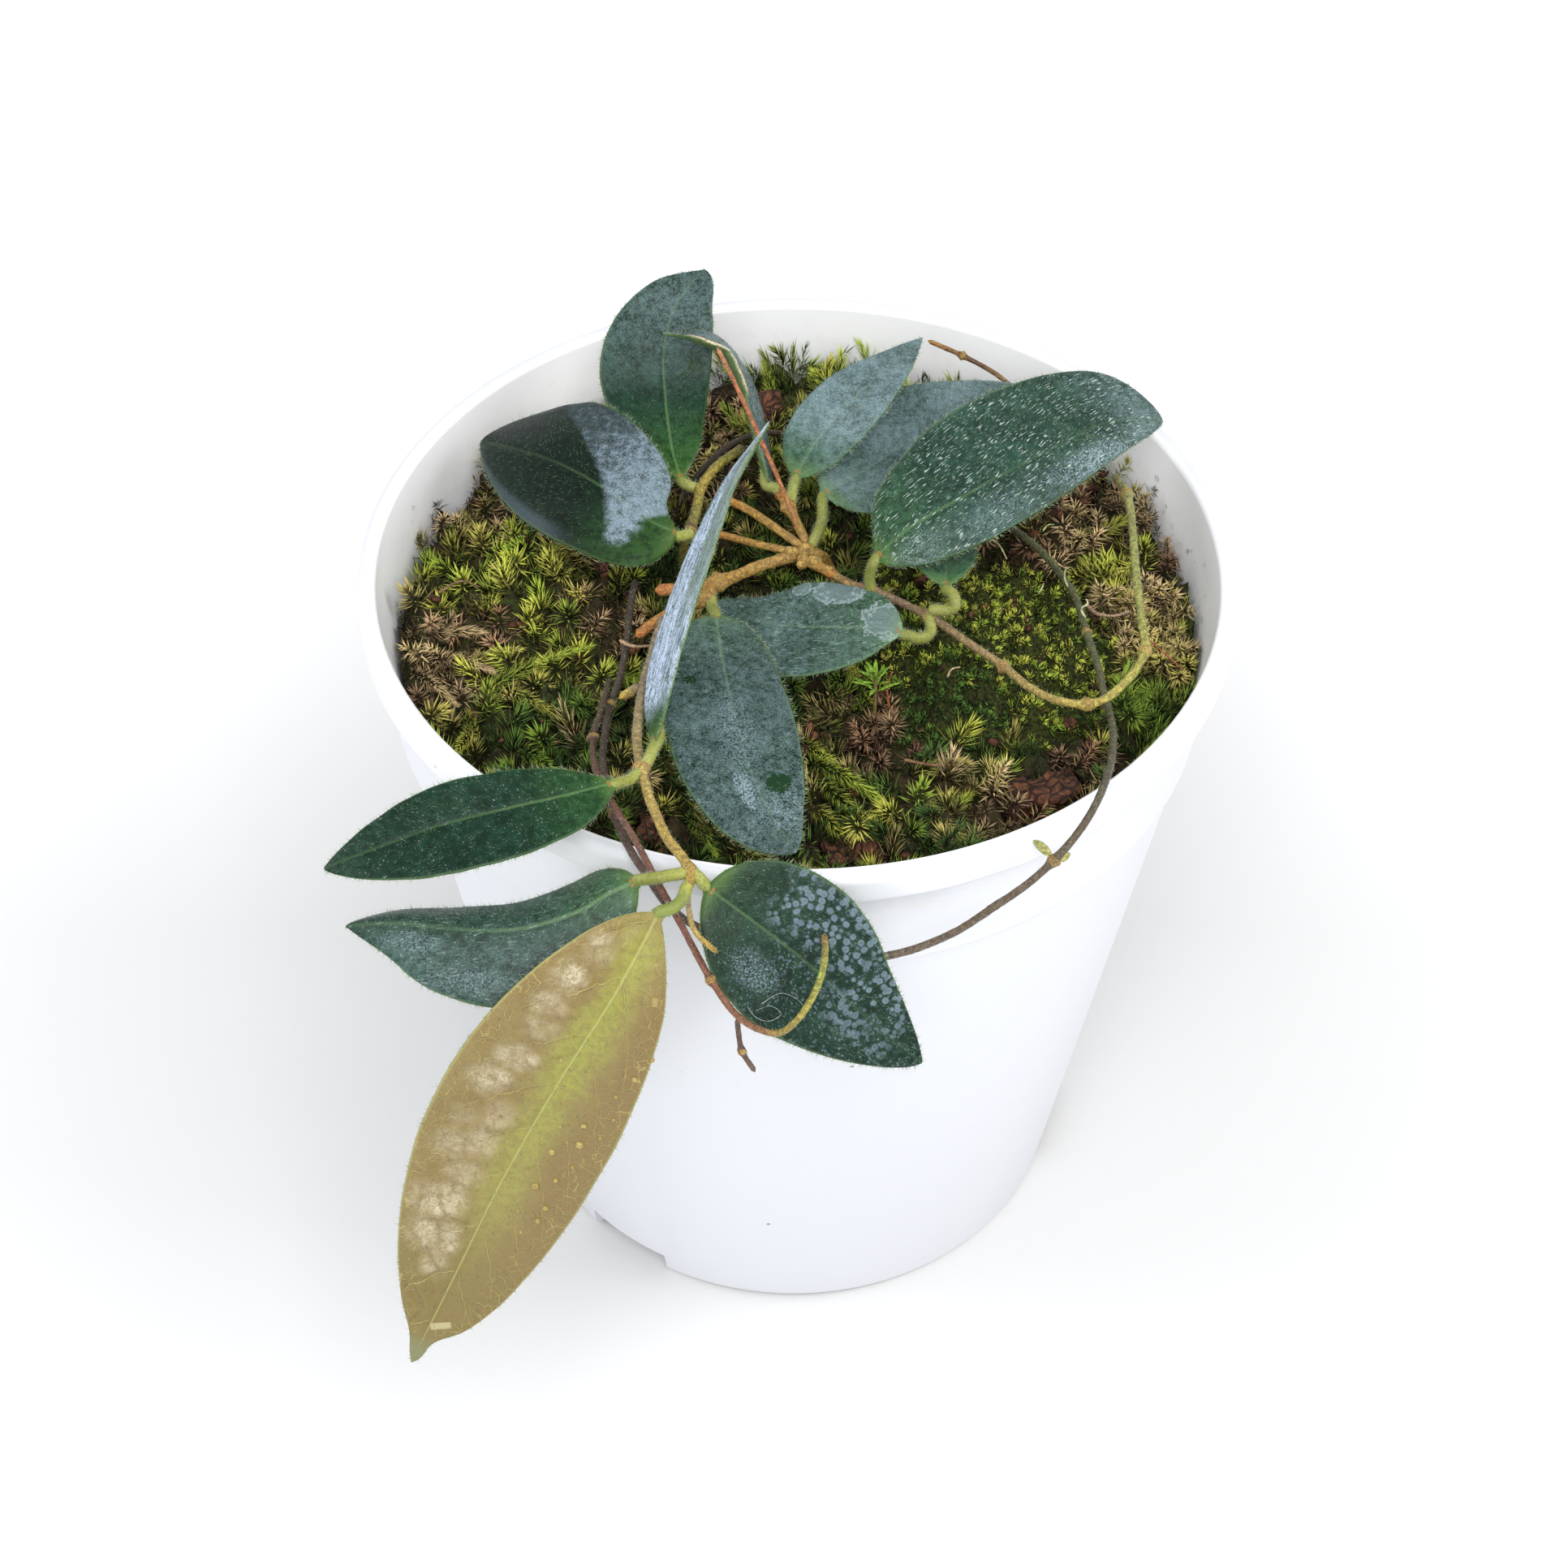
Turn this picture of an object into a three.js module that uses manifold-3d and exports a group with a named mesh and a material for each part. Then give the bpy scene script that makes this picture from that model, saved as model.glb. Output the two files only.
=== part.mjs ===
// A wax plant with small hairy leaves in a white nursery pot, in millimetres.
// The origin is the centre of the pot's underside, +Z is up and the front is -Y.
import * as THREE from 'three';
import { mergeVertices } from 'three/addons/utils/BufferGeometryUtils.js';
import Module from 'manifold-3d';

const wasm = await Module();
wasm.setup();

// Pot, measured at the outside unless named inner.
const POT_HEIGHT = 113;
const RIM_RADIUS = 60;
const RIM_INNER_RADIUS = 57.4;
const LIP_HEIGHT = 4.6;
const COLLAR_DROP = 21;
const COLLAR_RADIUS = 56.3;
const BODY_TOP_RADIUS = 55.4;
const BASE_RADIUS = 40.5;
const WALL = 1.3;
const FLOOR = 2.2;
const POT_SIDES = 48;
const MIX_SIDES = 24;

// Drain pockets in the corner between the wall and the floor.
const POCKET_COUNT = 3;
const POCKET_WIDTH = 14;
const POCKET_HEIGHT = 4.4;
const POCKET_DEPTH = 6.5;
const POCKET_ROOF = 6.6;
const POCKET_FIRST_ANGLE = -128;
const DRAIN_RADIUS = 2.1;

// Growing mix and moss.
const FIT_GAP = 0.3;
const MIX_TOP = 98;
const MOSS_EDGE = 100.6;
const TUFT_SPACING = 6.8;
const TUFT_RISE = [1.3, 3.4];
const TUFT_VALLEY = -1.1;
const MOSS_WALL_GAP = 0.5;
const CLUMP_GAP = 0.5;
const BARK_GAP = 0.45;
const MOUNDS = [
  { at: [-36, -2], rise: 3.2, spread: 15 },
  { at: [25, -9], rise: 5.2, spread: 13 },
  { at: [2, 44], rise: 3.6, spread: 11 },
  { at: [36, 22], rise: 3, spread: 13 },
  { at: [20, -39], rise: 2.2, spread: 10 },
  { at: [-12, -40], rise: 1.2, spread: 10 },
  { at: [-30, 34], rise: 1.6, spread: 12 },
];

// Seams between the clumps, as lines seen from above.
const SEAMS = [
  [[-60, 20], [-40, 15], [-18, 19], [-23, 4], [-20, -14], [-33, -24], [-50, -38]],
  [[-18, 19], [-6, 26], [-10, 40], [-17, 60]],
  [[-6, 26], [8, 24], [11, 8], [7, -10], [9, -24], [24, -27], [40, -22], [60, -20]],
  [[8, 24], [22, 14], [38, 8], [60, 5]],
  [[8, 24], [20, 38], [29, 58]],
  [[-20, -14], [-8, -20], [9, -24], [6, -38], [8, -60]],
];
const CLUMPS = [
  { name: 'moss_left_star', at: [-38, -4], colour: '#7d8a2c' },
  { name: 'moss_back_left', at: [-30, 32], colour: '#5d5a28' },
  { name: 'moss_back_tufts', at: [4, 40], colour: '#5f7a22' },
  { name: 'moss_back_right', at: [34, 24], colour: '#6a6330' },
  { name: 'moss_right_cushion', at: [28, -8], colour: '#4e7a1e' },
  { name: 'moss_front_right', at: [26, -38], colour: '#6b6a34' },
  { name: 'moss_front_feather', at: [-12, -38], colour: '#48601f' },
  { name: 'moss_middle', at: [-6, 2], colour: '#4b5222' },
];

// Bark pieces: centre, turn about Z in degrees, and length, width and thickness.
const BARK = [
  { at: [32.5, -34, 101.6], turn: 25, size: [13, 7, 5] },
  { at: [41, 28, 101.8], turn: 60, size: [10, 6, 5] },
  { at: [-33, 16.5, 101.4], turn: -20, size: [8, 5, 4.4] },
  { at: [-19, -41, 101], turn: 80, size: [7, 4.5, 4.6] },
  { at: [7.5, -44, 100.8], turn: 10, size: [9, 5.5, 4] },
  { at: [-4.5, 45, 102.4], turn: -40, size: [8, 6, 5] },
];

// Leaf blades are thin and a little thicker along the midrib.
const BLADE_THICKNESS = 1.1;
const EDGE_SHARE = 0.62;
const BLADE_COLUMNS = 4;
const BLADE_ROWS = 9;
const BLADE_BASE_HALF = 1.1;
const BLADE_TIP_HALF = 0.45;
const PETIOLE_RADIUS = 0.98;
const STEM_SIDES = 6;
const STEM_STEP = 4;
const STEM_GAP = 0.35;
const SWELLING = 1.6;

const DEEP_GREEN = '#1f3d2a';
const GREY_GREEN = '#4a5f5c';
const BRONZE = '#8a7a35';

// Each blade follows its midrib. Facing is the way the upper side looks at the base and at the tip.
// Pairs give the left and the right half. Width goes from the midrib to the edge, belly is where along the
// blade it is widest, base and tip round its ends (less is rounder), and lift raises the edge in degrees.
const LEAVES = [
  {
    name: 'leaf_top', colour: DEEP_GREEN, width: [9, 7], lift: [6, 10],
    belly: [0.5, 0.6], base: [1, 0.85], tip: [0.98, 0.5],
    midrib: [[-16.2, 13.4, 115.8], [-17.5, 18, 116.8], [-18.8, 27, 120], [-19, 32.3, 124],
      [-17.2, 37.4, 128], [-13.4, 41.6, 131]],
    facing: [[0.1, -0.45, 0.9], [-0.1, -0.5, 0.86]],
    petiole: [[-13.9, 12.6, 115], [-15.2, 12.9, 115.3]],
  },
  {
    name: 'leaf_left_broad', colour: DEEP_GREEN, width: [9.8, 12.8], lift: [-8, -10],
    belly: [0.48, 0.68], base: [0.6, 0.95], tip: [0.8, 0.5],
    midrib: [[-16.3, 1.6, 116], [-20.2, 2, 118], [-26.5, 6.8, 119.6], [-33, 12.3, 119.4], [-39, 18, 117],
      [-45, 25, 113]],
    facing: [[-0.1, -0.3, 0.95], [-0.35, -0.1, 0.93]],
    petiole: [[-14.8, 2.4, 115.5], [-15.6, 1.9, 115.7]],
  },
  {
    name: 'leaf_curled', colour: GREY_GREEN, width: [5, 4.6], lift: [10, 10],
    belly: [0.5, 0.5], base: [0.7, 0.7], tip: [0.9, 0.9],
    midrib: [[-4, 12.4, 115.8], [-5.1, 17.1, 117.5], [-6.9, 23.3, 121], [-8.6, 26.2, 124.6],
      [-10.8, 27.6, 127.6],
      [-14.2, 27.2, 129.8], [-18.9, 27.6, 130.4]],
    facing: [[0.95, 0.1, 0.3], [0.3, 0.5, 0.8]],
    petiole: [[-2.6, 10.6, 116.3], [-3.2, 11.6, 116.1]],
  },
  {
    name: 'leaf_upright', colour: GREY_GREEN, width: [6.4, 8.5], lift: [5, 5],
    belly: [0.45, 0.45], base: [0.7, 0.7], tip: [0.95, 0.95],
    midrib: [[-18, -42.6, 119.6], [-17.3, -35.3, 122], [-15.2, -25, 125], [-12.4, -15.6, 128],
      [-9.2, -6.1, 131],
      [-4, 2.5, 135]],
    facing: [[-0.9, 0.1, 0.45], [-0.88, 0.1, 0.48]],
    petiole: [[-19.4, -45.4, 118], [-18.6, -44.4, 118.8]],
  },
  {
    name: 'leaf_centre', colour: GREY_GREEN, width: [7.4, 9.4], lift: [5, 5],
    belly: [0.52, 0.52], base: [0.45, 0.5], tip: [0.7, 0.55],
    midrib: [[-10.9, -12.2, 113.8], [-10.2, -19.7, 114.6], [-8.7, -29.8, 115.4], [-6.7, -39.8, 115],
      [-3.8, -48.2, 113.4],
      [-0.2, -54, 111.8]],
    facing: [[0.05, -0.15, 0.98], [0.1, -0.3, 0.95]],
    petiole: [[-11.8, -7.6, 113.2], [-11.4, -10.2, 113.2]],
  },
  {
    name: 'leaf_lance', colour: DEEP_GREEN, width: [9.6, 8.2], lift: [3, 5],
    belly: [0.56, 0.48], base: [0.9, 0.7], tip: [0.8, 0.9],
    midrib: [[14, -15.2, 113.6], [10.5, -14.3, 113.4], [4, -13.2, 112.4], [-2.5, -11.3, 111],
      [-6.9, -8.1, 109.8],
      [-10.6, -3.3, 108.6]],
    facing: [[0, -0.05, 1], [-0.1, -0.1, 1]],
    petiole: [[17.6, -11.5, 113], [18, -15.2, 112.2], [16, -16.4, 112.7]],
  },
  {
    name: 'leaf_small', colour: DEEP_GREEN, width: [6, 4], lift: [12, 12],
    belly: [0.5, 0.5], base: [0.85, 0.85], tip: [0.8, 0.8],
    midrib: [[19.7, -9, 116.2], [20, -4.8, 116.2], [20.6, 3, 115.2], [21.6, 12, 113]],
    facing: [[0, -0.3, 0.95], [0, 0.1, 1]],
    petiole: [[18, -11, 114], [20.8, -11.8, 115], [20.8, -10.4, 116]],
  },
  {
    name: 'leaf_back', colour: GREY_GREEN, width: [5.5, 5.4], lift: [6, 6],
    belly: [0.48, 0.48], base: [0.6, 0.6], tip: [0.85, 0.85],
    midrib: [[-0.4, 11.6, 118], [1.8, 15, 120], [6.3, 21.4, 122], [11.4, 27.2, 123.5], [17.4, 35.3, 124]],
    facing: [[-0.1, -0.35, 0.93], [-0.2, -0.2, 0.96]],
    petiole: [[-1.2, 7.6, 116], [-0.9, 9.4, 116.9]],
  },
  {
    name: 'leaf_behind', colour: GREY_GREEN, width: [9.5, 9], lift: [4, 4],
    belly: [0.5, 0.5], base: [0.62, 0.62], tip: [0.8, 0.8],
    midrib: [[3.4, 10.2, 116], [7.4, 12.8, 116.6], [14.3, 19.2, 117], [22.5, 26.5, 117], [31.5, 35, 116]],
    facing: [[0, -0.3, 0.95], [0, -0.2, 0.98]],
    petiole: [[1.9, 2.2, 114.2], [3.2, 6.2, 114.4], [3.3, 8.8, 115.4]],
  },
  {
    name: 'leaf_big_right', colour: DEEP_GREEN, width: [12.6, 7], lift: [-4, -6],
    belly: [0.54, 0.4], base: [0.9, 0.5], tip: [0.54, 0.62],
    midrib: [[10.3, -6.6, 119.2], [14.8, -3.4, 121.5], [23.5, 1.6, 124], [33.6, 8.8, 125],
      [43, 16.4, 124.2], [50.5, 20.5, 121.5]],
    facing: [[-0.1, -0.35, 0.93], [0.05, -0.35, 0.93]],
    petiole: [[9.8, -7, 114], [9.6, -7, 116.5]],
  },
  {
    name: 'leaf_low_left', colour: DEEP_GREEN, width: [7.4, 5.4], lift: [8, 8],
    belly: [0.5, 0.5], base: [0.7, 0.7], tip: [0.75, 0.75],
    midrib: [[-22.8, -49.2, 119], [-28.3, -52, 119.6], [-36.2, -54.8, 119.8], [-44.1, -57, 119],
      [-51, -59.2, 117.6], [-58, -60.8, 115.5]],
    facing: [[0.05, -0.3, 0.95], [-0.15, -0.35, 0.92]],
    petiole: [[-19.8, -46.3, 118], [-21.2, -48.2, 118.6]],
  },
  {
    name: 'leaf_wavy', colour: DEEP_GREEN, width: [9.6, 6.2], lift: [4, -56], wave: [0.7, 1.4],
    belly: [0.5, 0.34], base: [0.7, 0.5], tip: [0.95, 0.55],
    midrib: [[-19.4, -64.1, 117.3], [-22.8, -65.3, 116.3], [-26.3, -67.3, 115.3], [-33.5, -68.8, 113.6],
      [-41.5, -68.3, 112.9], [-48.3, -66.8, 112.2], [-55.3, -65.8, 110.6]],
    facing: [[0.1, -0.74, 0.68], [-0.1, -0.6, 0.8]],
    petiole: [[-13.4, -63.3, 118], [-16.5, -64.1, 118]],
  },
  {
    name: 'leaf_bronze', colour: BRONZE, width: [10.4, 13], lift: [5, 8], rows: 13,
    belly: [0.52, 0.46], base: [0.8, 0.6], tip: [0.8, 0.9],
    midrib: [[-16.7, -69.6, 117.4], [-21.8, -75.9, 110.3], [-29.1, -79.3, 97.3], [-36.7, -82, 81.4],
      [-43.6, -85.7, 65.7], [-49.4, -90.4, 54]],
    facing: [[0.14, -0.82, 0.5], [-0.2, -0.86, 0.3]],
    petiole: [[-13.4, -65, 117.2], [-14, -67.4, 117.4], [-15.1, -68.9, 117.6]],
  },
  {
    name: 'leaf_front_right', colour: DEEP_GREEN, width: [9.6, 10], lift: [6, 6],
    belly: [0.42, 0.48], base: [0.46, 0.62], tip: [0.82, 0.7],
    midrib: [[-11, -64.4, 116.6], [-5.6, -66.4, 113], [0.8, -68.4, 108], [6.9, -70.4, 102],
      [15.7, -73.4, 94.5]],
    facing: [[0.15, -0.75, 0.62], [0.2, -0.8, 0.55]],
    petiole: [[-12.8, -63.1, 118], [-11.8, -63.9, 117.4]],
  },
];

// Every stem is a list of branches. A swelling is a leaf node on the branch's own point of that index.
const STEMS = [
  {
    name: 'rooted_stem', colour: '#a5843c',
    branches: [
      { radius: 1.1, path: [[-0.2, -0.3, 114], [2.6, 1.2, 113], [4, 3, 109.5], [4.8, 6, 104], [5, 8, 96]],
        swellings: [0] },
      { radius: 1, path: [[0, 0, 114], [-5.9, -2.8, 114], [-10.8, -5.9, 114], [-14.6, -7, 114],
        [-19.2, -7.5, 114]], swellings: [2] },
      { radius: 0.9, path: [[-10.8, -5.9, 114], [-12.6, -8, 113], [-17.6, -9, 111], [-21.8, -11.5, 109.2]],
        swellings: [1] },
      { radius: 0.72, path: [[0.6, 0.8, 114.6], [-3.7, 4.7, 115.3], [-8.1, 8.8, 115.3],
        [-11.6, 11.4, 115]], swellings: [] },
      { radius: 0.65, path: [[0, 0.4, 114], [-4.8, 2.8, 113.2], [-9.4, 5.2, 112.6], [-11.8, 6.6, 112.2]],
        swellings: [] },
      { radius: 0.8, path: [[1.2, 1.6, 114.6], [-1.3, 7.6, 116], [-2.6, 10.6, 116.3]], swellings: [1, 2] },
      { radius: 0.9, path: [[-0.2, -0.3, 114], [2.8, -2.4, 114], [5.4, -4.4, 114]], swellings: [] },
    ],
  },
  {
    name: 'right_vine', colour: '#8c8550',
    branches: [
      {
        radius: 0.68, swellings: [2, 4, 6, 9, 12, 16],
        path: [[4.6, -3.9, 114], [7, -5.8, 114], [9.8, -7, 114], [14.1, -9.2, 113.5], [17.5, -11.1, 113],
          [23.9, -17.1, 112.5],
          [27.2, -20, 112.2], [30.1, -24.2, 112.6], [34, -27.4, 113], [37.7, -28.2, 113.2],
            [40.7, -27, 113.6],
          [44, -23.4, 114.6], [45.5, -20.9, 116], [45.3, -15.7, 117], [45.1, -7.5, 118], [45.1, 0.2, 119],
          [44.8, 7.2, 119.2], [43.4, 12, 118.4]],
      },
    ],
  },
  {
    name: 'left_vine', colour: '#a08a3c',
    branches: [
      { radius: 0.8, path: [[-13.6, 13, 115], [-14.1, 6.8, 115.5], [-14.8, 2.4, 115.5]],
        swellings: [0, 2] },
      { radius: 0.75, path: [[-13.6, 13, 115], [-11.2, 17, 115.6], [-8.7, 20.4, 115.2], [-7.8, 21.8, 115]],
        swellings: [] },
      { radius: 0.7, path: [[-14.1, 6.8, 115.5], [-15.2, 7.6, 112], [-16, 9, 106], [-16.4, 10, 96]],
        swellings: [] },
    ],
  },
  {
    name: 'front_vine', colour: '#9a7c52',
    branches: [
      {
        radius: 0.82, swellings: [5, 8],
        path: [[-18.2, -9.6, 111], [-19.2, -15.9, 111], [-20, -22, 112], [-20.5, -31, 114],
          [-20.4, -39.3, 116.6],
          [-19.6, -45.4, 118], [-18.2, -51.6, 118.4], [-16.2, -57.4, 118.4], [-13.1, -63.1, 118],
            [-13.1, -65.2, 117.2]],
      },
      { radius: 0.85, path: [[-20.5, -24.6, 112.6], [-23.3, -26.9, 112.4]], swellings: [] },
      { radius: 0.45, path: [[-13.1, -64.4, 117.6], [-13.2, -66.6, 116], [-12.4, -68.9, 113.6],
        [-9.6, -71, 112]], swellings: [] },
    ],
  },
  {
    name: 'loop_vine', colour: '#6d6a4e',
    branches: [
      {
        radius: 0.62, swellings: [6, 13, 26, 30],
        path: [[26.4, 26, 96], [27.4, 22, 101], [29.9, 14.3, 106.8], [32.7, 8.6, 108.8],
          [35.6, 2.6, 109.4], [37.9, -3.8, 109.6],
          [38.9, -10.7, 109.8], [40, -17.3, 109.8], [40.6, -23.7, 109.8], [41, -28.9, 110.8],
            [40.4, -36.8, 113.6],
          [38.4, -46.8, 117], [35.8, -52.4, 116], [31.9, -55.6, 112.4], [29.2, -56.8, 110],
            [24, -58.4, 106.2],
          [18.7, -60.3, 103.4], [11.4, -62, 101.6], [5.5, -63, 101.8], [-0.1, -63.1, 102.6],
            [-7.7, -63.3, 105],
          [-11.7, -63.2, 107.6], [-14.2, -63, 109.6], [-16.4, -62.4, 112], [-18.5, -60.3, 114.2],
            [-21.2, -55, 114.4],
          [-23, -49.5, 114], [-24.4, -42.4, 112.8], [-25, -37.5, 111.8], [-25, -31.8, 110.6],
            [-24.6, -25.1, 109.4],
          [-23.6, -19.1, 108.8], [-23.1, -11.7, 108], [-22.9, -4.2, 107.4], [-22.6, 3, 105.6],
            [-22.4, 7, 101], [-22.4, 8, 96]],
      },
    ],
  },
  {
    name: 'young_shoot', colour: '#7c4a34',
    branches: [
      {
        radius: 0.62, swellings: [4, 12],
        path: [[-25.6, -8, 96], [-25.4, -12, 102], [-25.2, -20, 108], [-25.6, -28, 111.6],
          [-26.2, -36, 114], [-25.6, -43, 116],
          [-23.4, -50.6, 117.8], [-20.6, -56.4, 118], [-18, -61.8, 117.2], [-15.6, -65.6, 115],
            [-13.9, -67.6, 112.8],
          [-12.3, -69.6, 110.4], [-10.4, -72, 108.2], [-7.5, -75.6, 106.2], [-4.5, -78, 106],
            [-2.1, -79.4, 107],
          [0.1, -79, 109], [1.8, -77.4, 111], [2.9, -75.4, 112.8], [3.4, -72.8, 114.2], [3.3, -70.4, 115]],
      },
    ],
  },
  {
    name: 'dry_flower_stalk', colour: '#b5683a',
    branches: [
      { radius: 0.5, path: [[0, 2.2, 116.8], [-2.4, 9, 118.8], [-5.4, 15.6, 121.8], [-9.2, 20.8, 128],
        [-11.3, 22.8, 131.6]], swellings: [] },
    ],
  },
  {
    name: 'dry_root', colour: '#3a3228',
    branches: [
      {
        radius: 0.5, swellings: [],
        path: [[-18.8, 16, 97], [-18.4, 17.6, 103], [-15.3, 21.6, 108], [-10.8, 28.6, 108.8],
          [-7.2, 31.8, 108.8],
          [-4.2, 33.4, 108.2], [-1.5, 34.8, 106.4], [0.6, 36, 99.5]],
      },
    ],
  },
  {
    name: 'dry_twig', colour: '#6a4a2a',
    branches: [
      { radius: 0.5, path: [[18.6, 42, 118.4], [23.6, 40.6, 116.8], [29.5, 38.8, 114], [34.4, 37.6, 108],
        [35.6, 36.6, 97]], swellings: [1] },
    ],
  },
  {
    name: 'dead_twig', colour: '#4a3428',
    branches: [
      { radius: 0.48, path: [[-7.2, -75.8, 105.4], [-7, -76.2, 103], [-6.6, -77, 100.8], [-5, -78, 98]],
        swellings: [2] },
    ],
  },
];

const SEEDLING = {
  foot: [10.3, -20.8, 100], top: [10.3, -19, 107.6],
    radius: 0.5, leaflets: 6, length: 3.4, width: 1.5, depth: 0.7,
};

function vector(point) {
  return new THREE.Vector3(...point);
}

// Repeatable random numbers between 0 and 1.
function randomFrom(seed) {
  let state = seed;
  return () => {
    state = (state * 16807) % 2147483647;
    return state / 2147483647;
  };
}

function solidFrom(geometry) {
  const bare = geometry.clone();
  for (const name of ['normal', 'uv']) {
    bare.deleteAttribute(name);
  }
  const merged = mergeVertices(bare, 1e-4);
  return new wasm.Manifold(new wasm.Mesh({
    numProp: 3,
    vertProperties: new Float32Array(merged.attributes.position.array),
    triVerts: new Uint32Array(merged.index.array),
  }));
}

function geometryFrom(solid) {
  const mesh = solid.getMesh();
  const geometry = new THREE.BufferGeometry();
  geometry.setAttribute('position', new THREE.BufferAttribute(new Float32Array(mesh.vertProperties), 3));
  geometry.setIndex(new THREE.BufferAttribute(new Uint32Array(mesh.triVerts), 1));
  geometry.computeVertexNormals();
  return geometry;
}

function joined(solids) {
  return solids.reduce((whole, solid) => whole.add(solid));
}

function without(solid, cutters) {
  return cutters.reduce((rest, cutter) => rest.subtract(cutter), solid);
}

// Cutting can leave loose scraps, so only the largest body is kept.
function largestBody(solid) {
  const bodies = solid.decompose();
  return bodies.reduce((best, body) => (body.volume() > best.volume() ? body : best));
}

function meshOf(name, solid, colour, roughness) {
  const material = new THREE.MeshStandardMaterial({ color: colour, roughness, metalness: 0 });
  const mesh = new THREE.Mesh(geometryFrom(solid), material);
  mesh.name = name;
  return mesh;
}

function turnedSolid(profile, sides) {
  const points = profile.map(([radius, height]) => new THREE.Vector2(radius, height));
  const geometry = new THREE.LatheGeometry(points, sides);
  geometry.rotateX(Math.PI / 2);
  return solidFrom(geometry);
}

// Inner wall radius of the pot at a height.
function innerRadius(height) {
  const collarBottom = POT_HEIGHT - COLLAR_DROP;
  const bodySlope = (BODY_TOP_RADIUS - BASE_RADIUS) / collarBottom;
  const atCollar = BODY_TOP_RADIUS - WALL;
  if (height <= collarBottom) {
    return atCollar - bodySlope * (collarBottom - height);
  }
  return THREE.MathUtils.lerp(atCollar, RIM_INNER_RADIUS, (height - collarBottom) / COLLAR_DROP);
}

function makePot() {
  const collarBottom = POT_HEIGHT - COLLAR_DROP;
  const lipBottom = POT_HEIGHT - LIP_HEIGHT;
  const stepRadius = BASE_RADIUS - POCKET_DEPTH - 2;
  const shell = turnedSolid([
    [0, 0],
    [BASE_RADIUS - 0.8, 0],
    [BASE_RADIUS, 0.8],
    [BODY_TOP_RADIUS, collarBottom],
    [COLLAR_RADIUS, collarBottom + 0.6],
    [COLLAR_RADIUS + 1.2, lipBottom - 0.6],
    [RIM_RADIUS - 0.3, lipBottom],
    [RIM_RADIUS, lipBottom + 0.5],
    [RIM_RADIUS, POT_HEIGHT - 0.9],
    [RIM_RADIUS - 0.8, POT_HEIGHT],
    [RIM_INNER_RADIUS + 0.5, POT_HEIGHT],
    [RIM_INNER_RADIUS, POT_HEIGHT - 0.5],
    [innerRadius(collarBottom), collarBottom],
    [innerRadius(POCKET_ROOF), POCKET_ROOF],
    [stepRadius, POCKET_ROOF],
    [stepRadius - 1, FLOOR],
    [0, FLOOR],
  ], POT_SIDES);
  return without(shell, drainPockets());
}

function drainPockets() {
  const cutters = [];
  for (let i = 0; i < POCKET_COUNT; i += 1) {
    const turn = THREE.MathUtils.degToRad(POCKET_FIRST_ANGLE + (360 * i) / POCKET_COUNT);
    const reach = BASE_RADIUS + POCKET_DEPTH;
    const pocket = new THREE.BoxGeometry(2 * POCKET_DEPTH, POCKET_WIDTH, 2 * POCKET_HEIGHT);
    pocket.translate(BASE_RADIUS, 0, 0);
    const drain = new THREE.CylinderGeometry(DRAIN_RADIUS, DRAIN_RADIUS, reach, 10);
    drain.rotateX(Math.PI / 2);
    drain.translate(BASE_RADIUS - POCKET_DEPTH + DRAIN_RADIUS + 0.6, 0, 0);
    for (const cutter of [pocket, drain]) {
      cutter.rotateZ(turn);
      cutters.push(solidFrom(cutter));
    }
  }
  return cutters;
}

// A little more room at the wall, because the flat sides of the pot and of the mix don't line up.
function makeMix() {
  const stepRadius = BASE_RADIUS - POCKET_DEPTH - 2;
  const collarBottom = POT_HEIGHT - COLLAR_DROP;
  const wallGap = 1.5 * FIT_GAP;
  return turnedSolid([
    [0, FLOOR + FIT_GAP],
    [stepRadius - 1 - wallGap, FLOOR + FIT_GAP],
    [stepRadius - wallGap, POCKET_ROOF + FIT_GAP],
    [innerRadius(POCKET_ROOF) - wallGap, POCKET_ROOF + FIT_GAP],
    [innerRadius(collarBottom) - wallGap, collarBottom],
    [innerRadius(MIX_TOP) - wallGap, MIX_TOP],
    [0, MIX_TOP],
  ], MIX_SIDES);
}

function moundHeight(x, y) {
  return MOUNDS.reduce((height, mound) => {
    const away = Math.hypot(x - mound.at[0], y - mound.at[1]) / mound.spread;
    return height + mound.rise * Math.exp(-away * away);
  }, MOSS_EDGE);
}

// A sheet of tufts: on a triangular lattice every third point is a peak and the others are valleys.
function tuftSheet() {
  const step = TUFT_SPACING / Math.sqrt(3);
  const rowStep = step * Math.sqrt(3) / 2;
  const reach = RIM_INNER_RADIUS + TUFT_SPACING;
  const rows = 2 * Math.ceil(reach / rowStep);
  const columns = 2 * Math.ceil(reach / step);
  const sheet = new THREE.PlaneGeometry(1, 1, columns, rows);
  const random = randomFrom(41);
  const position = sheet.attributes.position;
  for (let row = 0; row <= rows; row += 1) {
    for (let column = 0; column <= columns; column += 1) {
      const isPeak = (column + 2 * row) % 3 === 0;
      const x = (column - columns / 2 + (row - rows / 2) / 2) * step + (random() - 0.5) * 0.35 * step;
      const y = (rows / 2 - row) * rowStep + (random() - 0.5) * 0.35 * step;
      const rise = isPeak ? THREE.MathUtils.lerp(...TUFT_RISE, random()) : TUFT_VALLEY;
      position.setXYZ(row * (columns + 1) + column, x, y, moundHeight(x, y) + rise);
    }
  }
  return sheet;
}

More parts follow.
